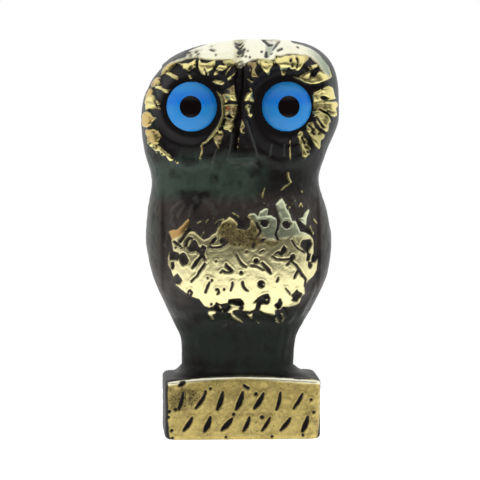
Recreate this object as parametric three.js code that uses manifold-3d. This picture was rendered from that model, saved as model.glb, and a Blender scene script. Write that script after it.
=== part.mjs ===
// Owl statuette: a small brass owl, cast in one with the block it stands on, with two domed glass eyes glued
// into round seats in its face. Millimetres, +Z up. The owl looks along -Y, and the origin is the middle of
// the block's underside. Left and right are the owl's own, so its left eye is on the +X side.
import * as THREE from "three";
import { mergeVertices } from "three/addons/utils/BufferGeometryUtils.js";
import Module from "manifold-3d";

const wasm = await Module();
wasm.setup();

// The block, with rounded edges. Its top slopes up from there to the ankles.
const BLOCK = { width: 24.0, depth: 14.2, height: 9.4, edge: 0.65, square: 12 };
const LEDGE_CURVE = 2.0; // 1 is a straight slope, and more is a hollow one

// The figure's cross-section at each level: how far it reaches to the +X and -X side, to the front and to the
// back of the axis, and how square it is (2 is an ellipse).
const LEVELS = [
  { name: "ankle", z: 11.0, plusX: 8.1, minusX: 9.15, front: 4.7, back: 5.9, square: 2.9 },
  { name: "shin", z: 15.0, plusX: 8.5, minusX: 9.3, front: 4.8, back: 6.4, square: 2.8 },
  { name: "thigh", z: 17.8, plusX: 9.8, minusX: 10.5, front: 5.3, back: 7.2, square: 2.7 },
  { name: "belly edge", z: 19.8, plusX: 11.0, minusX: 11.45, front: 7.3, back: 7.8, square: 2.5 },
  { name: "hip", z: 24.8, plusX: 13.3, minusX: 13.6, front: 9.2, back: 8.7, square: 2.4 },
  { name: "belly", z: 30.0, plusX: 14.0, minusX: 14.6, front: 10.0, back: 9.3, square: 2.4 },
  { name: "breast", z: 34.7, plusX: 13.35, minusX: 14.4, front: 9.6, back: 9.3, square: 2.4 },
  { name: "neck", z: 39.6, plusX: 12.05, minusX: 13.75, front: 8.7, back: 8.5, square: 2.4 },
  { name: "jaw", z: 44.0, plusX: 13.25, minusX: 14.85, front: 8.8, back: 8.6, square: 2.5 },
  { name: "cheek", z: 48.4, plusX: 15.0, minusX: 15.35, front: 9.4, back: 9.3, square: 2.7 },
  { name: "eyes", z: 52.0, plusX: 15.1, minusX: 15.15, front: 9.6, back: 9.5, square: 2.7 },
];

// The crown closes at a point beside the axis. Each side of it is a quarter of a rounded arch, which springs
// from its own level and is as full as its power says.
const CROWN = {
  top: 61.3,
  peakX: 2.5,
  square: 2.6,
  blend: 2,
  sides: {
    minusX: { from: 48.4, reach: 17.7, power: 2.42 },
    plusX: { from: 51.0, reach: 12.6, power: 3.1 },
    front: { from: 55.6, reach: 9.6, power: 2.0 },
    back: { from: 50.4, reach: 9.5, power: 2.1 },
  },
};

// The face: two round dishes with a raised rim, each with an eye in it, and a beak between them.
const EYE = { diameter: 8.0, dome: 1.9, girdle: 1.3, level: 51.0, seatGap: 0.3, seatY: -6.5, turn: 6, facets: 24 };
const EYE_X = { left: 6.45, right: -7.8 };
const DISH = { depth: 1.3, rim: 0.45, rimWidth: 0.13, side: 7.1, up: 6.9, down: 8.2 };
const BEAK = { x: -0.85, top: 50.6, widest: 44.9, tip: 43.2, halfWidth: 2.1, height: 1.2 };

// Notches cut across each rim leave a ring of feather tufts. There are none towards the chin.
const NOTCH = { count: 12, length: 3.1, radius: 0.5, skip: 35, place: 0.9, outermostX: 12.6 };

// Long grooves, each as deep as its radius: one down the middle of the face, two over the crown from front to
// back, and a few down each folded wing on the back.
const FACE_GROOVE = { x: -0.9, top: 58.0, bottom: 45.5, radius: 0.5 };
const CROWN_GROOVES = { x: [-0.6, 4.3], front: -7.6, back: 2.6, radius: 0.45 };
const WING_GROOVES = { x: [4.4, 7.0, 9.4], top: 37.0, bottom: 18.0, drawnIn: 2.4, radius: 0.32 };

// Two rows of shallow strokes across the front of the block, leaning opposite ways.
const STROKE_ROWS = [
  { z: 6.8, lean: 24, length: 2.6 },
  { z: 2.9, lean: -30, length: 2.8 },
];
const STROKE = { count: 8, pitch: 2.7, radius: 0.45, sway: 13 };

// Folded wings on the sides and back, and the tail between them.
const WING = { top: 40.5, bottom: 14.0, rise: 0.5, edgeX: 11.8, middleX: -0.3 };
const TAIL = { halfWidth: 3.1, top: 25.0, bottom: 10.6, rise: 0.9 };

// The grid that the skin is worked out on.
const COLUMNS = 56;
const FRONT_CROWDING = 0.4; // how much closer the columns stand at the front than at the back
const CLIMBS = [
  { from: 11.0, to: 17.2, rings: 3 },
  { from: 17.2, to: 20.4, rings: 3 },
  { from: 20.4, to: 42.4, rings: 10 },
  { from: 42.4, to: 57.6, rings: 14 },
];
const CROWN_RINGS = 6;

const degrees = THREE.MathUtils.degToRad;
const smooth = THREE.MathUtils.smoothstep;
const mix = THREE.MathUtils.lerp;
const SIDES = ["plusX", "minusX", "front", "back"];

// A measure of the figure at any level, on a smooth curve through the levels: a cubic between each two, whose
// slope at a level is that between its neighbours.
function atLevel(key, z) {
  const last = LEVELS.length - 1;
  if (z >= LEVELS[last].z) return LEVELS[last][key];
  const i = Math.max(LEVELS.findIndex((level) => level.z > z) - 1, 0);
  const slope = (k) => {
    const below = LEVELS[Math.max(k - 1, 0)];
    const above = LEVELS[Math.min(k + 1, last)];
    return (above[key] - below[key]) / (above.z - below.z);
  };
  const span = LEVELS[i + 1].z - LEVELS[i].z;
  const t = (z - LEVELS[i].z) / span;
  return (
    (2 * t ** 3 - 3 * t ** 2 + 1) * LEVELS[i][key] +
    (t ** 3 - 2 * t ** 2 + t) * span * slope(i) +
    (3 * t ** 2 - 2 * t ** 3) * LEVELS[i + 1][key] +
    (t ** 3 - t ** 2) * span * slope(i + 1)
  );
}

// How far one side of the crown reaches from the peak at a level.
function crownReach(side, z) {
  const { from, reach, power } = CROWN.sides[side];
  const up = THREE.MathUtils.clamp((z - from) / (CROWN.top - from), 0, 1);
  return reach * (1 - up ** power) ** (1 / power);
}

// The figure's ring at a level: its middle, its four reaches from there and its squareness. The middle moves
// over to the peak where the crown takes over from the levels.
function figureRing(z) {
  const eyes = LEVELS.at(-1).z;
  const crown = smooth(z, eyes - CROWN.blend, eyes + CROWN.blend);
  const ring = { z, middle: CROWN.peakX * crown, square: mix(atLevel("square", z), CROWN.square, crown) };
  for (const side of SIDES) {
    const sign = { plusX: -1, minusX: 1 }[side] ?? 0;
    const fromAxis = crownReach(side, z) - sign * CROWN.peakX;
    ring[side] = mix(atLevel(side, z), fromAxis, crown) + sign * ring.middle;
  }
  return ring;
}

// The block's ring, drawn in from its faces by some inset.
function blockRing(z, inset) {
  const side = BLOCK.width / 2 - inset;
  const face = BLOCK.depth / 2 - inset;
  return { z, middle: 0, plusX: side, minusX: side, front: face, back: face, square: BLOCK.square };
}

// A ring on the ledge, some share of the way from the block's top edge to the ankles.
function ledgeRing(share) {
  const top = blockRing(BLOCK.height, BLOCK.edge);
  const ankle = figureRing(LEVELS[0].z);
  const ring = { middle: 0, z: mix(top.z, ankle.z, share ** LEDGE_CURVE) };
  for (const side of SIDES) ring[side] = mix(top[side], ankle[side], share);
  ring.square = mix(top.square, ankle.square, Math.sqrt(Math.sqrt(share)));
  return ring;
}

// Where a place lies in a ring: under 1 is inside it, and 1 is on it.
function outOfRing(ring, x, y) {
  const across = x < ring.middle ? ring.minusX : ring.plusX;
  const along = y < 0 ? ring.front : ring.back;
  return Math.abs((x - ring.middle) / across) ** ring.square + Math.abs(y / along) ** ring.square;
}

// The point of a ring in a direction seen from its middle.
function ringPoint(ring, angle) {
  const x = Math.cos(angle);
  const y = Math.sin(angle);
  const reach = outOfRing(ring, ring.middle + x, y) ** (-1 / ring.square);
  return new THREE.Vector3(ring.middle + reach * x, reach * y, ring.z);
}

// The casting's rings from the underside to just below the peak.
function castingRings() {
  const rings = [];
  const edgeSteps = 3;
  const edgeTurn = (i) => (i / edgeSteps) * (Math.PI / 2);
  const inset = (sine) => BLOCK.edge * (1 - sine);
  for (let i = 0; i <= edgeSteps; i++) {
    rings.push(blockRing(inset(Math.cos(edgeTurn(i))), inset(Math.sin(edgeTurn(i)))));
  }
  rings.push(blockRing(BLOCK.height / 2, 0));
  for (let i = 0; i <= edgeSteps; i++) {
    rings.push(blockRing(BLOCK.height - inset(Math.sin(edgeTurn(i))), inset(Math.cos(edgeTurn(i)))));
  }
  for (const share of [0.3, 0.65, 0.88]) rings.push(ledgeRing(share));
  for (const { from, to, rings: count } of CLIMBS) {
    for (let i = 0; i < count; i++) rings.push(figureRing(mix(from, to, i / count)));
  }
  const start = CLIMBS.at(-1).to;
  for (let i = 0; i < CROWN_RINGS; i++) {
    rings.push(figureRing(mix(start, CROWN.top, Math.sin((i / CROWN_RINGS) * (Math.PI / 2)))));
  }
  return rings;
}

// How far out of a disc's middle a place on the face is, from 0 at its eye to 1 on its rim.
function outOfDish(x, z, eyeX) {
  const tall = z > EYE.level ? DISH.up : DISH.down;
  return Math.hypot((x - eyeX) / DISH.side, (z - EYE.level) / tall);
}

// How far the two discs of the face stand forward of the plain figure.
function faceRelief(x, z) {
  let dish = 0;
  let rim = 0;
  for (const eyeX of [EYE_X.left, EYE_X.right]) {
    const out = outOfDish(x, z, eyeX);
    dish = Math.max(dish, DISH.depth * (1 - smooth(out, 0.55, 0.97)));
    rim = Math.max(rim, DISH.rim * Math.exp(-(((out - 1) / DISH.rimWidth) ** 2)));
  }
  return rim - dish;
}

// The beak: a wedge that widens downwards and turns under at its tip.
function beakRelief(x, z) {
  if (z > BEAK.top || z < BEAK.tip) return 0;
  const down = Math.min((BEAK.top - z) / (BEAK.top - BEAK.widest), 1);
  const turnUnder = smooth(z, BEAK.tip, BEAK.widest);
  const half = mix(0.5, BEAK.halfWidth, down) * Math.sqrt(turnUnder);
  const across = Math.min(Math.abs(x - BEAK.x) / Math.max(half, 0.1), 1);
  return BEAK.height * mix(0.25, 1, down) * turnUnder * (1 - across ** 2);
}

// The breast lies a little behind the front edges of the folded wings.
function breastRelief(x, z) {
  const off = Math.abs(x - WING.middleX);
  const beside = smooth(off, WING.edgeX - 3, WING.edgeX) * (1 - smooth(off, WING.edgeX, WING.edgeX + 0.8));
  const level = smooth(z, WING.bottom + 6, WING.bottom + 9) * (1 - smooth(z, WING.top - 6, WING.top));
  return -WING.rise * beside * level;
}

// On the back, each wing is a long leaf that narrows down to the tail, and the tail is a flat strip.
function backRelief(x, z) {
  const down = THREE.MathUtils.clamp((WING.top - z) / (WING.top - WING.bottom), 0, 1);
  const innerEdge = mix(0.6, TAIL.halfWidth + 0.6, down);
  const outerEdge = mix(15.0, 6.0, down ** 3);
  const off = Math.abs(x - WING.middleX);
  const onWing = smooth(off, innerEdge, innerEdge + 0.8) * (1 - smooth(off, outerEdge, outerEdge + 1));
  const level = smooth(z, WING.bottom, WING.bottom + 2) * (1 - smooth(z, WING.top - 1.5, WING.top + 1.5));
  const onTail = 1 - smooth(off, TAIL.halfWidth - 0.5, TAIL.halfWidth + 0.3);
  const tailLevel = smooth(z, TAIL.bottom, TAIL.bottom + 1.5) * (1 - smooth(z, TAIL.top - 8, TAIL.top));
  return Math.max(WING.rise * onWing * level, TAIL.rise * onTail * tailLevel);
}

// How far the front or the back of the figure stands out from its ring. It fades out towards the sides.
function relief({ x, y, z }) {
  if (z < BLOCK.height + 0.4) return 0;
  const facing = smooth(Math.abs(y), 1.5, 5);
  return facing * (y < 0 ? faceRelief(x, z) + beakRelief(x, z) + breastRelief(x, z) : backRelief(x, z));
}

// The whole skin as a closed grid of rings, with the relief pushed out along Y.
function castingSkin() {
  const rings = castingRings();
  const points = [];
  for (const ring of rings) {
    for (let i = 0; i < COLUMNS; i++) {
      const turn = (i / COLUMNS - 0.5) * 2 * Math.PI;
      const point = ringPoint(ring, -Math.PI / 2 + turn - FRONT_CROWDING * Math.sin(turn));
      point.y += Math.sign(point.y) * relief(point);
      points.push(point);
    }
  }
  const underside = points.push(new THREE.Vector3(0, 0, 0)) - 1;
  const peak = points.push(new THREE.Vector3(CROWN.peakX, 0, CROWN.top)) - 1;
  const faces = [];
  const at = (level, column) => level * COLUMNS + (column % COLUMNS);
  const topRing = rings.length - 1;
  for (let i = 0; i < COLUMNS; i++) {
    faces.push(underside, at(0, i + 1), at(0, i));
    faces.push(peak, at(topRing, i), at(topRing, i + 1));
    for (let level = 0; level < topRing; level++) {
      faces.push(at(level, i), at(level, i + 1), at(level + 1, i + 1));
      faces.push(at(level, i), at(level + 1, i + 1), at(level + 1, i));
    }
  }
  return new THREE.BufferGeometry().setFromPoints(points).setIndex(faces);
}

// A closed three.js geometry as a manifold-3d solid.
function solidFrom(geometry, matrix = new THREE.Matrix4()) {
  const plain = (geometry.index ? geometry.toNonIndexed() : geometry.clone()).applyMatrix4(matrix);
  plain.deleteAttribute("normal");
  plain.deleteAttribute("uv");
  const merged = mergeVertices(plain, 1e-4);
  const vertProperties = merged.attributes.position.array;
  const triVerts = new Uint32Array(merged.index.array);
  return new wasm.Manifold(new wasm.Mesh({ numProp: 3, vertProperties, triVerts }));
}

// A manifold-3d solid as a three.js geometry.
function geometryFrom(solid) {
  const { vertProperties, triVerts } = solid.getMesh();
  const geometry = new THREE.BufferGeometry();
  geometry.setAttribute("position", new THREE.BufferAttribute(new Float32Array(vertProperties), 3));
  geometry.setIndex(new THREE.BufferAttribute(new Uint32Array(triVerts), 1));
  geometry.computeVertexNormals();
  return geometry;
}

// The point of the finished skin that faces forward (side -1) or backward (side 1) at a place seen from there.
function skinPoint(x, z, side) {
  const ring = figureRing(z);
  const across = Math.min(outOfRing(ring, x, 0), 1);
  const y = side * (side < 0 ? ring.front : ring.back) * (1 - across) ** (1 / ring.square);
  const point = new THREE.Vector3(x, y, z);
  point.y += side * relief(point);
  return point;
}

// The point on top of the crown at a place seen from above, found by halving the step.
function crownPoint(x, y) {
  let z = LEVELS.at(-1).z;
  for (let step = (CROWN.top - z) / 2; step > 0.001; step /= 2) {
    if (outOfRing(figureRing(z + step), x, y) < 1) z += step;
  }
  return new THREE.Vector3(x, y, z);
}

// A round cutter along a curved line on the skin, which leaves a groove as deep as its radius.
function grooveCutter(points, radius) {
  const sides = 4;
  const corners = Array.from({ length: sides }, (_, i) => {
    const turn = (i / sides) * 2 * Math.PI;
    return new THREE.Vector2(radius * Math.cos(turn), radius * Math.sin(turn));
  });
  const extrudePath = new THREE.CatmullRomCurve3(points);
  return solidFrom(new THREE.ExtrudeGeometry(new THREE.Shape(corners), { steps: 6, extrudePath }));
}

// The long grooves of the face, the crown and the wings.
function grooves() {
  const shares = [0, 0.25, 0.5, 0.75, 1];
  const faceLine = shares.map((s) => skinPoint(FACE_GROOVE.x, mix(FACE_GROOVE.top, FACE_GROOVE.bottom, s), -1));
  const cutters = [grooveCutter(faceLine, FACE_GROOVE.radius)];
  for (const x of CROWN_GROOVES.x) {
    const line = shares.map((s) => crownPoint(x, mix(CROWN_GROOVES.front, CROWN_GROOVES.back, s)));
    cutters.push(grooveCutter(line, CROWN_GROOVES.radius));
  }
  const { top, bottom, drawnIn, radius } = WING_GROOVES;
  for (const side of [-1, 1]) {
    for (const off of WING_GROOVES.x) {
      const line = shares.map((s) => {
        const x = WING.middleX + side * (off - drawnIn * s ** 2);
        return skinPoint(x, mix(top, bottom, s), 1);
      });
      cutters.push(grooveCutter(line, radius));
    }
  }
  return cutters;
}

// An eye's place: its seat's floor, with its axis turned a little outwards.
function eyePlace(side) {
  const outward = side === "left" ? 1 : -1;
  return {
    position: new THREE.Vector3(EYE_X[side], EYE.seatY, EYE.level),
    rotation: new THREE.Euler(degrees(90), 0, outward * degrees(EYE.turn), "ZXY"),
  };
}

// The round seat that an eye is glued into, as a cutter that reaches well out of the face.
function eyeSeat(side) {
  const radius = EYE.diameter / 2 + EYE.seatGap;
  const depth = 8;
  const cutter = new THREE.CylinderGeometry(radius, radius, depth, EYE.facets);
  cutter.rotateX(Math.PI / 2).translate(0, 0, depth / 2 - EYE.seatGap);
  const { position, rotation } = eyePlace(side);
  const turn = new THREE.Quaternion().setFromEuler(rotation);
  return solidFrom(cutter, new THREE.Matrix4().compose(position, turn, new THREE.Vector3(1, 1, 1)));
}

// A spindle that lies across the front at some lean, and cuts a notch that is deepest in the middle.
function spindle(length, radius, position, lean) {
  const half = length / 2;
  const profile = [
    new THREE.Vector2(0, -half),
    new THREE.Vector2(radius * 0.7, -half * 0.6),
    new THREE.Vector2(radius, half * 0.1),
    new THREE.Vector2(radius * 0.7, half * 0.7),
    new THREE.Vector2(0, half),
  ];
  const matrix = new THREE.Matrix4().makeRotationY(lean).setPosition(position);
  return solidFrom(new THREE.LatheGeometry(profile, 5).rotateX(Math.PI / 2), matrix);
}

// The notches between the tufts of one disc, fanned round its eye.
function tuftNotches(side) {
  const notches = [];
  for (let i = 0; i < NOTCH.count; i++) {
    const angle = degrees(-90 + NOTCH.skip / 2) + (i / (NOTCH.count - 1)) * degrees(360 - NOTCH.skip);
    const reach = Math.sin(angle) > 0 ? DISH.up : DISH.down;
    const x = EYE_X[side] + NOTCH.place * DISH.side * Math.cos(angle);
    const z = EYE.level + NOTCH.place * reach * Math.sin(angle);
    if (Math.abs(x) > NOTCH.outermostX) continue;
    notches.push(spindle(NOTCH.length, NOTCH.radius, skinPoint(x, z, -1), Math.PI / 2 - angle));
  }
  return notches;
}

// The shallow strokes on the block's front.
function blockStrokes() {
  const strokes = [];
  for (const row of STROKE_ROWS) {
    for (let i = 0; i < STROKE.count; i++) {
      const x = (i - (STROKE.count - 1) / 2) * STROKE.pitch;
      const lean = degrees(row.lean + STROKE.sway * Math.sin(2.4 * i + row.z));
      const position = new THREE.Vector3(x, -BLOCK.depth / 2, row.z);
      strokes.push(spindle(row.length, STROKE.radius, position, lean));
    }
  }
  return strokes;
}

// One domed eye: a short straight girdle under a cap of a sphere, flat at the back.
function eyeGeometry() {
  const radius = EYE.diameter / 2;
  const sphere = (radius ** 2 + EYE.dome ** 2) / (2 * EYE.dome);
  const edgeAngle = Math.asin(radius / sphere);
  const chamfer = 0.2;
  const profile = [
    new THREE.Vector2(0, 0),
    new THREE.Vector2(radius - chamfer, 0),
    new THREE.Vector2(radius, chamfer),
  ];
  const steps = 5;
  for (let i = 0; i < steps; i++) {
    const turn = edgeAngle * (1 - i / steps);
    const height = EYE.girdle + EYE.dome - sphere * (1 - Math.cos(turn));
    profile.push(new THREE.Vector2(sphere * Math.sin(turn), height));
  }
  profile.push(new THREE.Vector2(0, EYE.girdle + EYE.dome));
  return new THREE.LatheGeometry(profile, EYE.facets).rotateX(Math.PI / 2);
}

function owlCasting() {
  const cutters = [
    eyeSeat("left"),
    eyeSeat("right"),
    ...tuftNotches("left"),
    ...tuftNotches("right"),
    ...grooves(),
    ...blockStrokes(),
  ];
  const solid = cutters.reduce((casting, cutter) => casting.subtract(cutter), solidFrom(castingSkin()));
  const brass = new THREE.MeshStandardMaterial({ color: 0x7d6b34, roughness: 0.35, metalness: 1.0 });
  const mesh = new THREE.Mesh(geometryFrom(solid), brass);
  mesh.name = "owl_casting";
  return mesh;
}

function eye(side) {
  const glass = new THREE.MeshStandardMaterial({ color: 0x2f7fd0, roughness: 0.08, metalness: 0.0 });
  const mesh = new THREE.Mesh(eyeGeometry(), glass);
  mesh.name = `${side}_eye`;
  const { position, rotation } = eyePlace(side);
  mesh.position.copy(position);
  mesh.rotation.copy(rotation);
  return mesh;
}

const owl = new THREE.Group();
owl.add(owlCasting(), eye("left"), eye("right"));

export default owl;
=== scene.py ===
# A small brass owl statuette with domed blue glass eyes: its finished surfaces, a pale stand and soft
# light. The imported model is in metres. Sizes here are in millimetres, and a mesh is scaled down when it is
# made.
import math

import bpy
import numpy as np
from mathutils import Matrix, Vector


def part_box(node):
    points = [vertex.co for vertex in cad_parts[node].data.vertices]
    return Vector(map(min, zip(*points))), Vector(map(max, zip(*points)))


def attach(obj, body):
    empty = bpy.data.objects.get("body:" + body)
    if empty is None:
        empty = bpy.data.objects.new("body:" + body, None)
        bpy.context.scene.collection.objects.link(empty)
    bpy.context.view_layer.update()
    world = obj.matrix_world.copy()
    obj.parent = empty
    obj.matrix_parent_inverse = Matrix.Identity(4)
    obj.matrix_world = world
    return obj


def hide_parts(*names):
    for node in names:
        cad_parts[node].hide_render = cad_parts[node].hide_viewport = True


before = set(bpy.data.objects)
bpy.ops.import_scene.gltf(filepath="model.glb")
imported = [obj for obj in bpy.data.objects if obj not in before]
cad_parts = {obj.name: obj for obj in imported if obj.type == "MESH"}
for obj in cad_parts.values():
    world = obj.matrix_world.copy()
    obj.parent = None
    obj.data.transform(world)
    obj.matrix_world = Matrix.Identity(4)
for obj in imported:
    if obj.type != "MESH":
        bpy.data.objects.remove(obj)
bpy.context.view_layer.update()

# The casting is the owl and its block in one piece of brass, cast in sand. It was darkened all over with a
# brown and green patina, rubbed bright again on the high places, and lacquered. It is made here as one
# closed skin of rings, from the middle of the underside up to the peak of the crown, and the owl looks
# along -Y.
MM = 0.001
PEAK_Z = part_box("owl_casting")[1].z / MM
BLOCK = {"width": 24.0, "depth": 14.2, "height": 9.4, "edge": 0.65, "square": 12.0}
LEDGE_CURVE = 2.0

# Height, reach to +X, to -X, to the front and to the back, and squareness, from the ankles up to the eyes.
LEVELS = np.array([
    (11.0, 8.1, 9.15, 4.7, 5.9, 2.9),
    (15.0, 8.5, 9.3, 4.8, 6.4, 2.8),
    (17.8, 9.8, 10.5, 5.3, 7.2, 2.7),
    (19.8, 11.0, 11.45, 7.3, 7.8, 2.5),
    (24.8, 13.3, 13.6, 9.2, 8.7, 2.4),
    (30.0, 14.0, 14.6, 10.0, 9.3, 2.4),
    (34.7, 13.35, 14.4, 9.6, 9.3, 2.4),
    (39.6, 12.05, 13.75, 8.7, 8.5, 2.4),
    (44.0, 13.25, 14.85, 8.8, 8.6, 2.5),
    (48.4, 15.0, 15.35, 9.4, 9.3, 2.7),
    (52.0, 15.1, 15.15, 9.6, 9.5, 2.7),
])
ANKLE_Z = LEVELS[0, 0]
EYES_Z = LEVELS[-1, 0]

# Where each side of the crown springs from, how far it reaches from the peak, and how full its arch is.
CROWN_SIDES = {
    "plus": (51.0, 12.6, 3.1),
    "minus": (48.4, 17.7, 2.42),
    "front": (55.6, 9.6, 2.0),
    "back": (50.4, 9.5, 2.1),
}
PEAK_X = 2.5
CROWN_SQUARE = 2.6
CROWN_BLEND = 2.0

COLUMNS = 300
BACK_STEP = 2.8  # how much wider the columns stand at the back than at the front
STRETCHES = [(ANKLE_Z, 18.5, 26), (18.5, 39.0, 114), (39.0, 43.0, 15), (43.0, 58.0, 88)]
CROWN_ROWS = 24


def smooth(value, start, end):
    """0 up to start, 1 from end on, and 3t² - 2t³ between them."""
    t = np.clip((value - start) / (end - start), 0, 1)
    return t * t * (3 - 2 * t)


def mix(a, b, share):
    """a + share (b - a)."""
    return a + share * (b - a)


def at_level(column, z):
    """One measure of LEVELS at any height, as a cubic between each two levels. Its slope at a level is the
    slope of the line between that level's neighbours."""
    heights = LEVELS[:, 0]
    values = LEVELS[:, column]
    below = np.maximum(np.arange(len(heights)) - 1, 0)
    above = np.minimum(np.arange(len(heights)) + 1, len(heights) - 1)
    slopes = (values[above] - values[below]) / (heights[above] - heights[below])
    z = np.clip(z, heights[0], heights[-1])
    i = np.clip(np.searchsorted(heights, z, side="right") - 1, 0, len(heights) - 2)
    span = heights[i + 1] - heights[i]
    t = (z - heights[i]) / span
    start = (2 * t**3 - 3 * t**2 + 1) * values[i] + (t**3 - 2 * t**2 + t) * span * slopes[i]
    end = (3 * t**2 - 2 * t**3) * values[i + 1] + (t**3 - t**2) * span * slopes[i + 1]
    return start + end


def crown_reach(side, z):
    """reach (1 - up^power)^(1/power), where up goes from 0 where that side springs to 1 at the peak."""
    start, reach, power = CROWN_SIDES[side]
    up = np.clip((z - start) / (PEAK_Z - start), 0, 1)
    return reach * (1 - up**power) ** (1 / power)


def figure_rings(z):
    """Rings of the figure, one row each: height, middle, the reaches to +X, to -X, to the front and to the
    back, and the squareness. They follow the levels, and the crown's four arches take over from them at the
    eyes."""
    crown = smooth(z, EYES_Z - CROWN_BLEND, EYES_Z + CROWN_BLEND)
    middle = PEAK_X * crown
    plus = mix(at_level(1, z), crown_reach("plus", z) + PEAK_X, crown) - middle
    minus = mix(at_level(2, z), crown_reach("minus", z) - PEAK_X, crown) + middle
    front = mix(at_level(3, z), crown_reach("front", z), crown)
    back = mix(at_level(4, z), crown_reach("back", z), crown)
    return np.stack([z, middle, plus, minus, front, back, mix(at_level(5, z), CROWN_SQUARE, crown)], 1)


def block_rings(z, inset):
    """Rings of the block at heights z, drawn in from its faces by inset."""
    side = BLOCK["width"] / 2 - inset
    face = BLOCK["depth"] / 2 - inset
    return np.stack([z, 0 * z, side, side, face, face, 0 * z + BLOCK["square"]], 1)


def casting_rings():
    """All the rings from the underside up, and for each the share of the way from the block to the
    figure."""
    edge = BLOCK["edge"]
    turn = np.linspace(0, math.pi / 2, 6)
    flat = block_rings(np.zeros(3), np.full(3, edge))
    flat[:, 2:6] *= np.array([0.3, 0.65, 0.93])[:, None]
    lower = block_rings(edge * (1 - np.cos(turn)), edge * (1 - np.sin(turn)))
    face = block_rings(np.linspace(edge, BLOCK["height"] - edge, 42)[1:-1], np.zeros(40))
    upper = block_rings(BLOCK["height"] - edge * (1 - np.sin(turn)), edge * (1 - np.cos(turn)))
    share = np.linspace(0, 1, 12)[1:-1]
    ledge = mix(upper[-1], figure_rings(np.array([ANKLE_Z]))[0], share[:, None])
    ledge[:, 0] = mix(BLOCK["height"], ANKLE_Z, share**LEDGE_CURVE)
    ledge[:, -1] = mix(BLOCK["square"], LEVELS[0, 5], share**0.25)
    block = np.concatenate([flat, lower, face, upper])
    climb = np.concatenate([np.linspace(low, high, rows, endpoint=False) for low, high, rows in STRETCHES])
    round_over = np.sin(np.arange(CROWN_ROWS) / CROWN_ROWS * math.pi / 2)
    figure = figure_rings(np.concatenate([climb, mix(STRETCHES[-1][1], PEAK_Z, round_over)]))
    shares = np.concatenate([np.zeros(len(block)), share, np.ones(len(figure))])
    return np.concatenate([block, ledge, figure]), shares


def points_on(rings, turns):
    """The points of each ring in the directions turns: |x/a|^s + |y/b|^s = 1 about its middle, where a and
    b are the reaches on that point's side and s is the squareness."""
    z, middle, plus, minus, front, back, square = (rings[:, i, None] for i in range(7))
    cosine, sine = np.cos(turns), np.sin(turns)
    across = np.where(cosine < 0, minus, plus)
    along = np.where(sine < 0, front, back)
    reach = (np.abs(cosine / across) ** square + np.abs(sine / along) ** square) ** (-1 / square)
    return np.stack([middle + reach * cosine, reach * sine, z + 0 * turns], -1)


def directions_round(ring):
    """The directions of the columns round a ring. Steps along it are even, but wider at the back."""
    turns = np.linspace(math.pi / 2, 2.5 * math.pi, 4001)
    line = points_on(ring[None], turns[None])[0]
    steps = np.linalg.norm(np.diff(line, axis=0), axis=1)
    steps /= mix(1, BACK_STEP, smooth(line[1:, 1], -3, 3))
    travelled = np.concatenate([[0], np.cumsum(steps)])
    return np.interp(np.arange(COLUMNS) / COLUMNS * travelled[-1], travelled, turns)


def outward(points):
    """The skin's outward direction at each point: the step round the ring crossed with the step up."""
    around = np.roll(points, -1, 1) - np.roll(points, 1, 1)
    up = np.gradient(points, axis=0)
    normal = np.cross(around, up)
    return normal / np.maximum(np.linalg.norm(normal, axis=-1, keepdims=True), 1e-9)


def lumps(points, size, seed):
    """Smooth random values from -1 to 1. Each corner of a cubic lattice of that size has its own, and
    between the corners they are blended by 3t² - 2t³ along each axis. size may differ from axis to axis."""
    count = 32
    lattice = np.random.default_rng(seed).uniform(-1, 1, (count, count, count))
    place = points / np.asarray(size, float) + 1000.5
    cell = np.floor(place).astype(int)
    part = place - cell
    part = part * part * (3 - 2 * part)
    value = 0
    for corner in np.ndindex(2, 2, 2):
        weight = np.prod(np.where(corner, part, 1 - part), axis=-1)
        i, j, k = np.moveaxis((cell + corner) % count, -1, 0)
        value = value + weight * lattice[i, j, k]
    return value


def rough(points, size, seed):
    """Lumps with three finer sizes added, each half as large and half as strong as the one before."""
    return sum(lumps(points, np.asarray(size) / 2**i, seed + i) / 2**i for i in range(4)) / 1.875


# The plain skin, before anything is worked into it.
rings, figure_share = casting_rings()
block_turns = directions_round(block_rings(np.zeros(1), np.zeros(1))[0])
figure_turns = directions_round(figure_rings(np.array([EYES_Z]))[0])
turns = mix(block_turns, figure_turns, smooth(figure_share, 0, 1)[:, None])
skin = points_on(rings, turns)
X, Y, Z = skin[..., 0], skin[..., 1], skin[..., 2]
front = Y < 0
facing_front = smooth(-Y, 1.5, 5.0)
facing_back = smooth(Y, 1.5, 5.0)

# The head's broad forms: a hollow disc round each eye with its rim, a ridge between them, and the beak.
EYE_Z = 51.0
EYE_X = {"left_eye": 6.45, "right_eye": -7.8}
EYE_TURN = math.radians(6)
EYE_RADIUS = 4.0
FACE_MIDDLE = -0.9
SEAT_BACK = 6.2  # how far in front of the axis an eye's seat ends
SEAT_RADIUS = 3.72
LAP = 0.16  # how far the metal stands in front of the glass's girdle, which it laps over
GIRDLE_FRONT = 7.95  # how far in front of the axis the glass comes out of its seat
DISC = {"depth": 1.25, "side": 7.1, "up": 6.9, "down": 8.2, "rim": 0.4, "rim_width": 0.14}
BEAK = {"x": -0.3, "top": 50.5, "bottom": 42.6, "half": 2.35, "height": 1.15}


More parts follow.
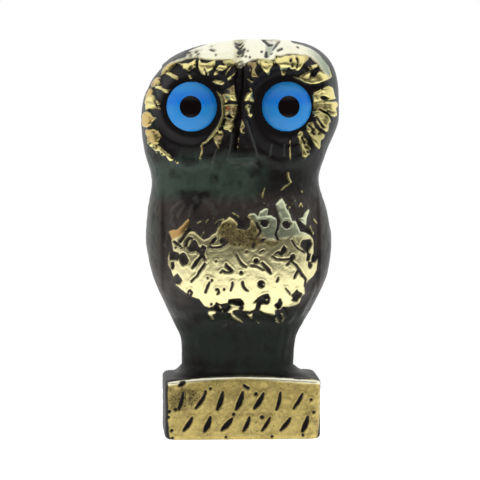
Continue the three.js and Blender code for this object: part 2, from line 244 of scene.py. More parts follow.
def beak_height(x, z):
    """How far the beak stands forward: a wedge from its narrow top down to its blunt tip, with two flat
    faces that meet in a rounded edge at its middle."""
    down = np.clip((BEAK["top"] - z) / (BEAK["top"] - BEAK["bottom"]), 0, 1)
    half = mix(0.3, BEAK["half"], down**0.9)
    across = np.abs(x - BEAK["x"] - 0.15 * down) / half
    face = mix(1 - np.minimum(across, 1) ** 1.6, 1, 0.25) * (1 - smooth(across, 0.88, 1.06))
    tip = smooth(z, BEAK["bottom"] - 0.35, BEAK["bottom"] + 0.75)
    return BEAK["height"] * mix(0.3, 1, down) * face * tip * (z < BEAK["top"])


forward = np.zeros_like(X)
collar = np.zeros_like(X)
eye_plane = np.zeros_like(X)
hollow = np.zeros_like(X)
rim = np.zeros_like(X)
for name, eye_x in EYE_X.items():
    side = 1 if name == "left_eye" else -1
    height = np.where(Z > EYE_Z, DISC["up"], DISC["down"])
    out = np.hypot((X - eye_x) / DISC["side"], (Z - EYE_Z) / height)
    hollow = np.maximum(hollow, 1 - smooth(out, 0.55, 0.97))
    rim = np.maximum(rim, np.exp(-(((out - 1) / DISC["rim_width"]) ** 2)))
    reach = np.hypot(X - eye_x, Z - EYE_Z)
    near = 1 - smooth(reach, 4.5, 6.4)
    eye_plane = np.where(near > 0, GIRDLE_FRONT + LAP - side * (X - eye_x) * math.tan(EYE_TURN), eye_plane)
    collar = np.maximum(collar, near)
forward += DISC["rim"] * rim - DISC["depth"] * hollow
forward += beak_height(X, Z)
on_face = facing_front * smooth(Z, 40.0, 42.0)
Y -= on_face * forward
Y += front * collar * (-eye_plane - Y)

# The wings lie folded along the sides and the back, and the breast lies a little behind their front edges.
WING = {"top": 40.5, "bottom": 14.0, "rise": 0.55, "edge_x": 11.6, "middle_x": -0.3}
TAIL = {"half": 3.1, "top": 25.0, "bottom": 10.6, "rise": 0.9}
off_middle = np.abs(X - WING["middle_x"])
beside = smooth(off_middle, WING["edge_x"] - 3, WING["edge_x"])
beside *= 1 - smooth(off_middle, WING["edge_x"], WING["edge_x"] + 0.7)
wing_level = smooth(Z, WING["bottom"] + 6, WING["bottom"] + 9) * (1 - smooth(Z, WING["top"] - 6, WING["top"]))
Y += facing_front * WING["rise"] * beside * wing_level


def wing_share(x, z):
    """1 on a folded wing of the back and 0 beside it. Its inner edge runs out from the middle to the tail,
    and its outer edge runs in from the side by the cube of the share of the way down."""
    down = np.clip((WING["top"] - z) / (WING["top"] - WING["bottom"]), 0, 1)
    inner = mix(0.6, TAIL["half"] + 0.6, down)
    outer = mix(15.0, 6.0, down**3)
    off = np.abs(x - WING["middle_x"])
    across = smooth(off, inner, inner + 0.8) * (1 - smooth(off, outer, outer + 1))
    level = smooth(z, WING["bottom"], WING["bottom"] + 2)
    level *= 1 - smooth(z, WING["top"] - 1.5, WING["top"] + 1.5)
    return across * level


def tail_share(x, z):
    """1 on the tail, which is a flat strip down the middle of the back, and 0 beside it."""
    across = 1 - smooth(np.abs(x - WING["middle_x"]), TAIL["half"] - 0.5, TAIL["half"] + 0.3)
    level = smooth(z, TAIL["bottom"], TAIL["bottom"] + 1.5) * (1 - smooth(z, TAIL["top"] - 8, TAIL["top"]))
    return across * level


wings = wing_share(X, Z)
tail = tail_share(X, Z)
Y += facing_back * np.maximum(WING["rise"] * wings, TAIL["rise"] * tail)

# The marks left on the front by the mould, by tools and by wear are drawn on an upright sheet of small
# squares through the owl's middle, as they look from in front. A place on the sheet is so many squares
# across and down.
VIEW = {
    "azimuth": math.radians(-3.3),
    "elevation": math.radians(3.5),
    "distance": 420,
    "target": (-0.1, 0, 30.25),
}
SQUARE = 0.155
SHEET_MIDDLE = 240
REACH = 7  # how many squares round a mark are worked out


def view_axes():
    """The directions to the right, up and back towards the eye, for someone looking from in front."""
    azimuth, elevation = VIEW["azimuth"], VIEW["elevation"]
    right = np.array([math.cos(azimuth), math.sin(azimuth), 0])
    level = np.array([math.sin(azimuth), -math.cos(azimuth), 0])
    back = level * math.cos(elevation) + np.array([0, 0, math.sin(elevation)])
    return right, np.cross(back, right), back


def on_sheet(points):
    """How far across and down the sheet points show: their distances to the right of the target and below
    it, times distance / depth, where depth is how far in front of the eye they lie."""
    right, up, back = view_axes()
    off = points - np.array(VIEW["target"])
    squares = VIEW["distance"] / (VIEW["distance"] - off @ back) / SQUARE
    return SHEET_MIDDLE + off @ right * squares, SHEET_MIDDLE - off @ up * squares


normals = outward(skin)
toward_eye = normals @ view_axes()[2]
turned_away = toward_eye < 0.03
grain = rough(skin, 0.55, 11)
wobble = rough(skin, 1.6, 23)
ragged = rough(skin, 1.1, 59)
ACROSS, DOWN = on_sheet(skin)
ACROSS += 0.45 * rough(skin, 0.7, 31)
DOWN += 0.45 * rough(skin, 0.7, 47)
ACROSS[turned_away] = -SHEET_MIDDLE


def inside_stroke(across, down, stroke):
    """How far inside a straight tapering stroke. A stroke is its start and its end, each a place and a
    half-width: the half-width at the nearest point of its middle line, less the distance to that point."""
    from_u, from_v, from_half, to_u, to_v, to_half = stroke
    length = max((to_u - from_u) ** 2 + (to_v - from_v) ** 2, 1e-9)
    along = np.clip(((across - from_u) * (to_u - from_u) + (down - from_v) * (to_v - from_v)) / length, 0, 1)
    away = np.hypot(across - mix(from_u, to_u, along), down - mix(from_v, to_v, along))
    return mix(from_half, to_half, along) - away


def inside_outline(across, down, corners):
    """How far inside a closed outline with straight sides: the distance to the nearest side. It is below 0
    where a line straight across from the point meets an even number of sides."""
    nearest = np.full_like(across, REACH)
    odd = np.zeros(across.shape, bool)
    for (from_u, from_v), (to_u, to_v) in zip(corners, corners[1:] + corners[:1]):
        nearest = np.minimum(nearest, -inside_stroke(across, down, (from_u, from_v, 0, to_u, to_v, 0)))
        if from_v != to_v:
            meets = from_u + (to_u - from_u) * (down - from_v) / (to_v - from_v)
            odd ^= ((from_v > down) != (to_v > down)) & (across < meets)
    return np.where(odd, nearest, -nearest)


def inside(marks):
    """How far inside the deepest of several marks each point of the skin is, in millimetres, and below 0
    outside them all. A mark is an outline, which is a list of its corners, or a stroke."""
    depth = np.full_like(ACROSS, -REACH)
    for mark in marks:
        places = np.array(mark if isinstance(mark, list) else [mark[:2], mark[3:5]])
        low, high = places.min(0) - REACH, places.max(0) + REACH
        spot = (ACROSS > low[0]) & (ACROSS < high[0]) & (DOWN > low[1]) & (DOWN < high[1])
        measure = inside_outline if isinstance(mark, list) else inside_stroke
        depth[spot] = np.maximum(depth[spot], measure(ACROSS[spot], DOWN[spot], mark))
    return depth * SQUARE


def dots(*places):
    """Round marks, each from its place and radius."""
    return [(u, v, half, u, v, half) for u, v, half in places]


def chain(*places):
    """Strokes one after another through the given places and half-widths."""
    return [(*a, *b) for a, b in zip(places, places[1:])]


# Feather tufts stand up round each eye like chips of metal, with hollows between them. Most were rubbed
# bright, and those at the owl's right cheek and between its eyes keep a brown or rusty stain.
GOLD_TUFTS = [
    [(179.5, 63.5), (189, 64), (193.5, 62), (197.3, 59.5), (196, 67), (191, 69.5), (189, 72), (187, 70),
     (184, 69), (182, 65.5)],
    [(199.5, 60), (202, 63.5), (208, 64), (215.5, 61.5), (215, 65), (212, 69.5), (209, 72), (208.3, 76),
     (206, 72), (204.6, 75), (201.5, 73.5), (198.5, 68)],
    [(216.5, 69.5), (218.5, 66.5), (228, 66.5), (226, 69), (222.5, 71)],
    [(213.8, 75), (215, 71.5), (217.8, 71), (218, 73.5), (215, 76)],
    [(212.5, 82.3), (214.5, 79.8), (219, 80.5), (222, 80.5), (224.5, 82), (222.8, 84.8), (217, 83.8)],
    [(226.5, 78), (229, 76.3), (231.5, 77), (231, 79), (228.5, 80)],
    [(187.5, 74.8), (189.5, 75.3), (192.7, 78.7), (190.3, 79)],
    [(165.5, 73.6), (168.5, 72), (172, 73), (178.8, 78), (178, 80.3), (174, 79), (170, 76)],
    [(155.5, 88.3), (158.5, 86.4), (161.5, 86.4), (163.5, 89), (169, 91), (168, 93), (165, 92.5),
     (162, 90.2)],
    [(146, 101), (150, 98), (155, 97.5), (158, 100.3), (161, 103.5), (159.3, 105), (160.8, 108.7),
     (156, 108.3), (153, 109), (150.5, 108.3), (146, 110)],
    [(148.5, 136), (151, 140.5), (156, 144), (162, 147.5), (167.5, 153), (170.5, 155), (174, 160.5),
     (170, 160.5), (165, 154.5), (162.5, 155.5), (159.5, 150.5), (156, 150.8), (150, 143.5)],
    [(222.7, 94.5), (226, 93.8), (235.3, 94.5), (236.4, 101.2), (229, 100), (226.5, 102.3), (224, 103)],
    [(224.7, 111.8), (229, 110.2), (236.4, 110.2), (236.3, 115), (235, 117.5), (232.5, 116.5), (229.5, 114),
     (226, 115.5)],
    [(222.8, 125.8), (226.5, 125.2), (231, 124.6), (233.4, 123), (233.5, 127), (230.8, 132.2), (229, 130.2),
     (225.5, 130.3)],
    [(218, 128.5), (219, 130.8), (222, 131), (224, 134.8), (218.5, 133)],
    [(249.8, 87), (250.8, 91), (253, 98.5), (254.2, 101.8), (250.5, 100.8), (244.2, 100.6), (244.8, 96),
     (247, 92)],
    [(245, 106.5), (247.5, 103.8), (250.2, 105), (248.5, 111), (249.3, 113.6), (251.3, 113.2), (252.6, 115),
     (250.5, 117.6), (246.3, 114), (244.4, 109.5)],
    [(256.5, 61.5), (262, 63), (268.5, 64.5), (275, 63), (271.3, 66.5), (269.8, 70), (269.8, 75),
     (267.3, 75), (262, 68.5)],
    [(274.8, 57.5), (280, 58.5), (286, 57), (300, 57.5), (305, 57), (308.5, 59.5), (304.3, 63.5),
     (298.5, 69.5), (293, 71), (288.5, 66.5), (285.3, 71), (284.6, 74.8), (282.3, 75), (279.8, 66),
     (275.5, 62)],
    [(308, 67.5), (311, 66), (317.8, 64.2), (317.3, 66.8), (311, 71)],
    [(292.5, 76), (299.5, 78), (299.8, 76), (303, 74), (309.5, 71), (310.5, 73), (309.3, 77), (315, 75.5),
     (319.3, 71.5), (325, 75), (329, 78.8), (322.5, 81.5), (318, 83), (310, 84), (304, 82.5), (299, 79.5)],
    [(311.8, 96), (312.5, 92.5), (322, 87.6), (328, 86.5), (332.3, 87.5), (335.2, 98.8), (327.5, 100.3),
     (320, 101), (312.5, 101.3)],
    [(312.6, 102.3), (324, 102), (334.3, 101.5), (335.2, 105), (333.6, 109), (334.3, 115), (332.7, 117),
     (325, 112), (316.5, 108.6), (313, 109.5)],
]
OLIVE_TUFTS = [
    [(312.4, 112), (317, 109.8), (327.5, 114.8), (330, 121), (328.2, 124), (327.8, 130.8), (325.3, 131.3),
     (317.5, 123.5), (315, 119.8)],
    [(306.3, 126), (308.5, 122), (312, 121.5), (314.5, 127.5), (324.5, 135), (323.5, 138), (320, 140),
     (317, 148.5), (315, 147), (310.5, 137.5), (306.5, 130)],
    [(297.5, 134.5), (299.5, 131.6), (302.5, 131.3), (303, 137), (308, 140.5), (307, 143.5), (310.2, 148.6),
     (308, 150), (308.3, 154), (305.5, 155.5), (303.7, 158.3), (302, 156), (299.5, 143)],
    [(256, 60), (262, 60.2), (275, 61.8), (275, 63), (268.5, 64.3), (262, 62.8)],
    [(222, 61.5), (236, 60.5), (237, 63), (233, 66), (226, 65.8)],
]
RUSTY_TUFTS = [
    [(161, 76), (163, 72.5), (166, 68.8), (170, 66), (179, 63.5), (174, 67.5), (168, 71.5), (165, 73.5)],
    [(151.5, 85.5), (155, 80), (158.5, 77.5), (161, 78.5), (160.5, 84), (158, 86), (153, 87)],
    [(147.5, 95), (150, 90), (152.5, 88.5), (154, 93), (156, 98), (150, 99), (146, 101)],
    [(144.8, 113), (148, 111.5), (150.8, 113), (153, 117), (156.5, 118), (152.5, 121.5), (151.5, 124.5),
     (149, 127.5), (145.5, 126.5), (144, 120)],
    [(147, 129.5), (154, 129.3), (158, 131), (161.5, 137), (158.3, 140.5), (158.8, 143), (156, 144),
     (151, 140), (148.5, 135)],
    [(225.5, 106), (235.8, 107), (236.3, 110), (233, 111.2), (225.2, 110.8)],
]
BROWN_TUFTS = [
    [(224.5, 91.5), (228, 88.3), (234.5, 85.3), (235.3, 94), (226, 93.8)],
    [(226, 120.5), (233.5, 120.5), (233.5, 123.5), (231, 124.4), (225, 124.5)],
    [(213.5, 137.5), (216.5, 134.8), (223.5, 136), (222.5, 140), (220, 144.5), (215.2, 139.8)],
    [(247, 62.5), (255, 62.5), (256.5, 66), (254.8, 69.5), (256, 74), (258.3, 76.5), (252, 77),
     (249.3, 68)],
    [(241, 119.2), (243, 121.8), (244.3, 126), (242.5, 130.5), (240, 131), (239.5, 126)],
]
TUFT_CUTS = [
    [(319, 97), (321.5, 95.6), (325, 96.2), (328.3, 98.3), (325, 100), (321, 99.6)],
    [(318.3, 66.5), (319.2, 70), (315, 74.3), (310, 77.5), (311.3, 74), (315.5, 70)],
]
TUFT_CUTS += dots(
    (290.5, 61.8, 1.3), (292, 65.2, 1.1), (294.3, 69, 0.9), (284, 71.3, 1.1), (309.7, 67.3, 0.9),
)
TUFT_CUTS += dots(
    (318.7, 134, 1.0), (309.3, 131.5, 0.7), (306.3, 151.8, 1.1), (247.5, 106.6, 1.1), (157.8, 147, 0.8),
)
TUFT_CUTS += dots(
    (163, 153, 0.9), (155, 146.5, 0.7), (166.5, 155.5, 0.7), (152, 143, 0.7), (160.5, 151, 0.7),
)
TUFT_CUTS += chain((295.5, 60.5, 0.6), (297.3, 63, 0.6), (296, 66, 0.6))
TUFT_CUTS += chain((326.5, 110.3, 0.6), (331, 112.6, 0.6))
TUFT_CUTS += chain((319, 109.6, 0.8), (325, 112.5, 1.0), (329, 115, 0.8))
TUFT_CUTS += chain((315.5, 116.5, 0.8), (319, 121.5, 0.8))
TUFT_CUTS += chain((319.8, 122.5, 1.0), (324, 126.8, 0.7)) + chain((308.5, 125.5, 0.9), (313, 129, 0.9))
TUFT_CUTS += chain((311.5, 130.5, 1.2), (313, 133.5, 1.1)) + chain((301.5, 137, 0.9), (304.5, 144, 0.8))
TUFT_CUTS += chain((304.5, 147, 0.6), (308, 149, 0.6)) + chain((205, 68, 0.4), (206.5, 74, 0.7))
TUFT_CUTS += chain((193, 67, 0.6), (190, 70, 0.4)) + chain((157, 100.5, 0.5), (158.5, 107, 0.7))
TUFT_CUTS += chain((228, 115.5, 1.0), (232, 117.3, 1.0))
TUFT_CUTS += chain((249.5, 66, 0.7), (252, 69, 0.6), (251, 74, 0.6))

# Thin worn lines and dots on the face, and the smooth olive lip that hugs the owl's right eye.
FACE_FLECKS = chain((225.5, 105.6, 0.9), (229, 104.9, 0.8), (236, 105.4, 1.1))
FACE_FLECKS += chain((226, 117.6, 1.0), (229, 119, 0.9), (233.4, 119.4, 1.0))
FACE_FLECKS += chain((214, 139.8, 0.7), (217, 143.5, 1.3), (218.8, 148.5, 0.6))
FACE_FLECKS += chain((289.8, 139, 0.5), (290, 158.5, 0.9))
FACE_FLECKS += chain((248, 79.5, 0.7), (252, 81.8, 0.9)) + chain((240, 131.7, 0.6), (244, 132.6, 0.8))
FACE_FLECKS += dots(
    (238.3, 139, 1.2), (237.8, 142, 1.0), (237.2, 147, 1.2), (178, 162.3, 1.3), (157.3, 152.3, 0.8),
)
FACE_FLECKS += dots(
    (175.5, 160.5, 0.8), (228, 88.5, 0.8), (233, 86.2, 0.8), (333, 120.5, 0.7), (170, 89.7, 0.8),
)
FACE_FLECKS += chain((236, 64, 0.7), (231, 67.3, 0.6), (227.5, 71.5, 0.6), (225.5, 75, 0.6))
FACE_FLECKS += chain((236.3, 70, 0.6), (235, 73.5, 0.6), (231.5, 76.5, 0.8))
EYE_LIP = chain(
    (216.5, 92, 0.8), (220, 95.5, 1.2), (222.3, 101, 1.5), (223.2, 108, 1.6), (223, 116, 1.7),
    (221, 122, 1.9), (218, 127.5, 1.8), (214, 133, 1.9), (209.5, 138, 1.6), (207, 141.5, 1.3),
    (203.5, 143, 1.2), (201.7, 146.5, 1.1), (202.8, 150, 1.0), (201.5, 154, 1.2), (200.4, 158.6, 0.9),
)
CHIP = {"rise": 0.42, "lean": 0.32, "edge": 0.16}
STRANDS = {"round": 9.0, "out": 1.5, "height": 0.06, "crack": 0.1}


def chips(outlines, seed):
    """The height of chips that stand up within outlines. Each has steep sides and a flat top with a slope
    of its own, rise + lean . offset from its middle, and where they meet the highest counts."""
    leans = np.random.default_rng(seed).uniform(-CHIP["lean"], CHIP["lean"], (len(outlines), 2))
    height = np.zeros_like(ACROSS)
    for outline, lean in zip(outlines, leans):
        middle = np.mean(outline, axis=0)
        slope = ((ACROSS - middle[0]) * lean[0] + (DOWN - middle[1]) * lean[1]) * SQUARE
        sides = smooth(inside([outline]), -CHIP["edge"], CHIP["edge"])
        height = np.maximum(height, sides * (CHIP["rise"] + np.clip(slope, -0.3, 0.3)))
    return height


seat_reach = np.minimum(*[np.hypot(X - eye_x, Z - EYE_Z) for eye_x in EYE_X.values()])
eye_side = np.where(X < FACE_MIDDLE, EYE_X["right_eye"], EYE_X["left_eye"])
round_eye = np.arctan2(Z - EYE_Z, X - eye_side)
strand_place = [round_eye * STRANDS["round"], seat_reach / STRANDS["out"], 0.3 * eye_side]
strands = lumps(np.stack(strand_place, -1), 1, 61)
cracks = (1 - smooth(np.abs(strands), 0.0, 0.16)) * smooth(wobble, -0.1, 0.2)
all_tufts = GOLD_TUFTS + OLIVE_TUFTS + RUSTY_TUFTS + BROWN_TUFTS
tufts = inside(all_tufts)
tuft_cuts = inside(TUFT_CUTS)
flecks = inside(FACE_FLECKS)
eye_lip = inside(EYE_LIP)
on_face = ~turned_away & (Z > 40.5)
relief = 0.045 * wobble + 0.035 * grain
relief += chips(all_tufts, 5)
relief += smooth(tufts, -0.1, 0.2) * (STRANDS["height"] * strands - STRANDS["crack"] * cracks)
relief -= 0.4 * smooth(tuft_cuts, -0.1, 0.15)
relief += 0.22 * smooth(flecks, -0.15, 0.1) + 0.4 * smooth(eye_lip, -0.2, 0.2)

# The brow is the crown's lower edge, a thin step over the tufts. A groove runs down the middle of the face,
# and two more run back over the crown, the wider one from a small hole left by a bubble in the casting.
BROW = [
    (163, 72.5), (166, 69), (171, 65.5), (178, 62.3), (186, 60), (197, 58.3), (200, 59.3), (210, 60.3),
    (229, 60), (233, 60.8), (236.5, 66.5), (245, 66), (248, 63.3), (251, 61), (257, 60), (270, 61.3),
    (274, 60), (275.5, 56.8), (281, 57), (286, 55.5), (291, 54.5), (304, 56.5), (310, 58), (317, 64),
    (322, 72), (329, 79.5),
]
CROWN = BROW + [
    (332, 76), (329, 67), (320, 55), (311, 49.5), (303, 46), (292, 43), (284, 30), (218, 30), (208, 43.5),
    (200, 46.8), (190, 51.5), (187, 55.5), (186.5, 58.5), (178, 61), (171, 64.3), (164, 71),
]
FACE_GROOVE = chain(
    (240, 66, 3.2), (239, 80, 3.4), (239, 104, 2.6), (238, 120, 2.4), (236, 140, 1.6), (235, 152, 0.8),
)
CROWN_GROOVES = chain((236, 64, 1.5), (238.5, 54, 2.6), (240, 40, 2.4))
CROWN_GROOVES += chain((268, 57, 0.8), (270, 46, 3), (270, 40, 3.4))
CROWN_CUTS = chain((235.5, 43, 0.8), (239, 42.7, 1.0))
CROWN_CUTS += chain((236, 45.5, 0.7), (240, 46.3, 0.9), (243, 45, 0.6))
CROWN_CUTS += chain((239.5, 48.7, 1.1), (244.5, 49.3, 1.0))
CROWN_CUTS += chain((238, 51, 0.8), (241.5, 51.5, 0.8), (243.5, 52.5, 0.7))
CROWN_CUTS += chain((263, 39.8, 0.9), (266, 41.5, 1.5), (269, 42.5, 1.5), (272.5, 42.8, 0.6))
CROWN_CUTS += chain((277.5, 51.8, 0.6), (281.5, 50, 0.9)) + chain((211, 50, 0.8), (214.5, 51.5, 0.6))
CROWN_CUTS += chain((279, 41, 0.6), (276, 46, 0.6), (273, 49, 0.5))
CROWN_CUTS += chain((266.5, 52, 0.8), (266, 57.5, 1.2))
CROWN_CUTS += dots((241.3, 42, 1.0), (242.3, 55.7, 1.2), (238.3, 54.8, 0.8), (246, 57, 0.7), (248, 51, 0.6))
CROWN_CUTS += dots(
    (261.5, 52.5, 0.9), (271.5, 54.5, 0.8), (297.5, 48.5, 0.7), (190, 54, 0.9), (197, 53.3, 1.0),
)
CROWN_CUTS += dots(
    (198.5, 55.9, 0.7), (191.5, 56.7, 0.7), (216, 56.3, 0.7), (212, 46, 0.6), (249.8, 58.3, 0.6),
)
BLUNT_GREY = [(265.5, 44.5), (272, 44), (277.5, 45), (275, 50), (271, 53), (269, 57.8), (265.8, 58)]
BROW_STEP = 0.28
brow = (np.interp(ACROSS, *np.array(BROW).T) - DOWN) * SQUARE
brow = np.where((ACROSS > BROW[0][0]) & (ACROSS < BROW[-1][0]), brow, -1)
crown = inside([CROWN])
crown_cuts = inside(CROWN_CUTS)
over_top = np.minimum(1.8 - Y, 9.0 - np.abs(X - 0.6)) + 0.8 * ragged
crown = np.where(turned_away & (Z > 56) & (Y < 6), over_top, crown)
relief += BROW_STEP * smooth(brow, -0.06, 0.12) * (1 - smooth(brow, 0.6, 2.2))
relief -= 0.8 * smooth(inside(FACE_GROOVE), -0.35, 0.25)
relief -= 0.4 * smooth(inside(CROWN_GROOVES), -0.5, 0.3) + 0.35 * smooth(crown_cuts, -0.1, 0.15)

# The beak has a thin raised line down each side, and an arc of small folds closes it off below.
BEAK_LINES = chain((246.5, 121, 0.6), (250, 133, 0.7), (254, 145, 0.7), (257.5, 156, 0.6))
BEAK_LINES += chain((232, 134, 0.5), (230.5, 147, 0.7), (227.5, 160, 0.7))
BEAK_LINES += chain(
    (234, 166.5, 0.5), (241, 165.5, 0.8), (248, 164.3, 0.9), (253, 163.5, 0.8), (257.5, 167, 0.7),
)
BEAK_LINES += chain((217, 150, 0.5), (213, 158, 0.6), (212, 168, 0.5))
BEAK_LINES += chain((271.5, 145, 0.5), (270, 155, 0.6))
BEAK_LINES += chain((284.5, 144, 0.5), (284, 156, 0.5)) + chain((298, 146, 0.5), (300, 153, 0.4))
beak_lines = inside(BEAK_LINES)
relief += 0.14 * smooth(beak_lines, -0.2, 0.1)

# The breast was rubbed bright in a patch with ragged edges, and the casting left it pitted and scratched.
# Its upper part is a stubby relief of feathers, and a band across the middle stayed matt.
BREAST = [
    (171.5, 239), (176, 236.5), (181, 234.5), (184.5, 231.5), (187, 232.5), (190.5, 231.3), (195, 231.5),
    (198, 234.5), (201, 237.5), (204, 239.3), (208, 238), (212, 234.5), (215.5, 233), (218, 227),
    (222, 221.5), (227, 219.5), (229.3, 216.3), (236, 221.5), (238, 224.5), (237, 228), (246, 230),
    (249.5, 227), (250, 220), (247, 217), (249.5, 213.2), (255, 213), (257.5, 216), (259, 211.5),
    (265, 208), (268.5, 209), (267, 215.5), (271, 215.2), (275.5, 217.8), (277, 214.5), (275, 204.5),
    (279, 199.5), (281.5, 198), (284.5, 203), (286, 209), (288.5, 212.3), (291.5, 220.8), (295, 221),
    (299.5, 231.5), (304, 232.3), (309, 235), (312.5, 239), (313.3, 246), (313, 253.5), (311, 256.5),
    (311, 262), (314, 261.5), (317, 258.5), (317, 264), (316, 270), (312.5, 276), (307.5, 280.5),
    (304, 286), (304.5, 293.5), (301.5, 295), (299.5, 302), (294, 305.5), (287, 307), (283, 306.5),
    (279, 309.8), (275, 310), (275, 315.5), (271, 315), (263, 312), (258.5, 310), (254, 309.8),
    (250, 311.5), (243.5, 311), (239, 309.5), (243, 303), (240, 298.5), (229.5, 299), (228.5, 303),
    (221, 304.2), (216.5, 303.5), (213, 306.5), (209, 308), (205, 306), (199.5, 299), (190, 296),
    (181, 288.5), (176, 284.5), (176.5, 282.8), (181, 284), (182.8, 280), (178, 273), (174.5, 277),
    (171, 269), (168, 264), (168, 257), (170, 251.5), (173.5, 251),
]
BREAST_TONGUES = [
    [(208.5, 310), (214, 309.3), (217, 312), (213.3, 315), (215, 319.5), (212, 319.5), (208, 313)],
    [(226.5, 311.5), (231, 306.5), (239, 307), (241, 309), (233, 310.5), (233, 313), (240, 319),
     (244, 321.5), (243, 323), (236, 319.5), (233.5, 319), (230, 313.5)],
    [(246, 313.3), (252, 313.3), (253.5, 319.5), (250, 318)],
    [(255, 319.5), (259.5, 321.5), (259, 323), (256, 322.3)],
    [(274.5, 316), (276.5, 317), (279.5, 321.5), (278.5, 323.3), (275, 321.5)],
    [(229, 304.5), (232, 302.5), (237, 303), (242, 305), (241, 307), (236, 306.7), (232, 306.2)],
    [(297, 219), (302, 217), (303, 213), (307, 209), (308.5, 210.5), (305.5, 218), (305, 226), (299, 221)],
    [(308, 226), (310, 225.5), (311.5, 231), (314, 233), (312, 235.5), (309.5, 231)],
]
RUSTY_EDGE = [
    (169, 231), (173, 229.8), (178, 229.3), (182, 226), (186, 221), (189, 218.5), (189.5, 222), (188, 228),
    (185, 232.5), (180, 236.5), (172, 239.5),
]
MATT_BAND = [
    (217, 234), (219, 225), (227, 220), (236, 222), (237, 228), (249, 229), (251, 221), (257, 228),
    (258, 237), (266, 240), (275, 241), (282, 237), (282, 241), (275, 246), (270, 248), (264, 244),
    (250, 248), (236, 247), (226, 243),
]
GREENISH_RELIEF = [
    (248, 212), (258, 210), (268, 206), (275, 203), (281, 196), (290, 212), (297, 220), (307, 206),
    (310, 212), (306, 228), (311, 236), (300, 236), (286, 238), (278, 240), (268, 239), (260, 231),
    (254, 220),
]
BREAST_CUTS = [
    [(191, 244), (193, 240.5), (195.5, 240), (197.5, 243), (199, 247), (201.5, 249), (202, 253),
     (199.5, 252.5), (196, 250), (194, 251.5), (190.5, 251.5), (188.5, 248)],
    [(202.5, 244.5), (206.5, 247), (205.5, 251), (204.5, 254), (206.5, 259.5), (205, 260), (202.5, 257.5),
     (200, 259.5), (197.5, 264), (193, 267.8), (192.3, 266.5), (195, 261), (200, 256), (201.5, 252.5),
     (201, 248)],
    [(181, 254), (184, 252.5), (187, 255), (189, 260), (188, 263.5), (184, 265), (182, 262), (180.5, 258)],
    [(172, 251), (179, 252.5), (180.5, 255), (179, 260), (176, 259.5), (171.5, 259)],
    [(172.5, 262), (175, 262), (175.3, 265.5), (174.5, 268.5), (173, 268)],
    [(215.5, 236), (217, 238), (214, 243.5), (210, 244), (212, 239.5)],
    [(283.5, 245), (286, 248.5), (284.5, 252), (281, 255.7), (278, 254), (280, 251)],
    [(290, 255), (293.5, 253.5), (293.5, 257), (292, 260.5), (289, 260.5)],
    [(302, 240), (308.5, 239.5), (310.5, 243.5), (308.5, 247.5), (306.5, 251), (303, 249.5), (299.5, 246),
     (300, 243)],
    [(307.3, 261.5), (309.8, 262), (310, 265.5), (308.3, 268), (307, 265.5)],
    [(312, 258), (315, 254), (316, 257), (313.5, 262), (311.5, 261)],
    [(260, 220.5), (263, 219.5), (267, 220), (268, 223), (266.5, 226.5), (263, 227), (260.5, 224)],
    [(283, 221.5), (286.5, 221), (289.5, 223.5), (289.3, 227), (286, 229), (283, 227.5), (281.5, 224.5)],
    [(296, 220), (299, 221), (303, 225), (306.5, 227), (310, 229.5), (311, 235.5), (308, 233.5), (304, 232),
     (299.8, 231), (298, 226)],
    [(253, 302.3), (258, 297.2), (263, 294.3), (267.5, 293.3), (269.8, 297), (269, 301), (266.7, 303),
     (263, 302.3), (260.5, 303), (259.7, 307), (258, 311), (254, 311), (256, 306), (257, 301),
     (254.5, 301.5)],
    [(278.5, 298), (280, 298), (281.5, 302.5), (280.5, 306.5), (277.5, 309), (274, 304), (277.5, 301.8)],
    [(296, 289), (297.5, 291), (301, 293.5), (300, 296.5), (297.5, 297), (296, 300), (292.5, 300),
     (290.5, 299), (293, 297), (290.5, 294.5), (294, 291.5)],
    [(229, 299.5), (233.5, 298.8), (240, 298.3), (243, 300.5), (243.8, 303.5), (242.5, 305), (243.3, 307.5),
     (241.8, 310), (239, 308.5), (241, 306.5), (238.5, 305), (232.5, 303.3), (228.7, 303.2)],
    [(216.5, 301.5), (218.5, 303.5), (221.5, 304.5), (226, 303), (228.5, 304.5), (231, 306.5), (226, 312.5),
     (219, 312), (214, 307), (216, 304)],
]
BREAST_CUTS += chain((190, 229, 1.3), (186.5, 234, 1.1), (181, 241, 1.7))
BREAST_CUTS += chain((175.5, 241.5, 0.8), (178, 244, 1.3), (181.5, 246, 0.7))
BREAST_CUTS += chain((186.5, 246, 1.0), (187.5, 241, 1.3), (189.5, 237.8, 1.2), (192, 238.5, 1.0))
BREAST_CUTS += chain((205, 263.5, 1.0), (200, 271, 1.0), (198, 274.5, 0.6))
BREAST_CUTS += chain((198, 274.5, 0.6), (192, 280.3, 0.7))
BREAST_CUTS += chain((210, 246.3, 0.7), (213, 247.6, 0.9), (215, 247, 0.6))
BREAST_CUTS += dots((222.5, 240.5, 2.7), (241.2, 272, 1.6))
BREAST_CUTS += chain((216, 247.5, 0.9), (220, 247, 1.0), (224.5, 244.5, 0.9), (227, 241.5, 0.7))
BREAST_CUTS += chain((226.2, 263.5, 0.9), (227, 265.5, 1.1), (229.5, 268, 1.6), (232, 270, 1.0))
BREAST_CUTS += chain((222.5, 269.8, 0.6), (226, 271.8, 0.6), (231, 271.3, 0.8))
BREAST_CUTS += chain((236, 253, 0.4), (239.5, 260, 0.6), (242, 263.5, 0.8), (246, 266, 0.5))
BREAST_CUTS += dots((256, 260.5, 2.4))
BREAST_CUTS += chain((262, 262.5, 0.9), (265.5, 266, 1.3), (268.3, 269.5, 1.5), (270.3, 272.8, 0.6))
BREAST_CUTS += chain((251, 264.5, 0.6), (257, 265.5, 0.5), (263, 269, 0.4))
BREAST_CUTS += chain((274.5, 253.8, 0.6), (278, 251.5, 0.9))
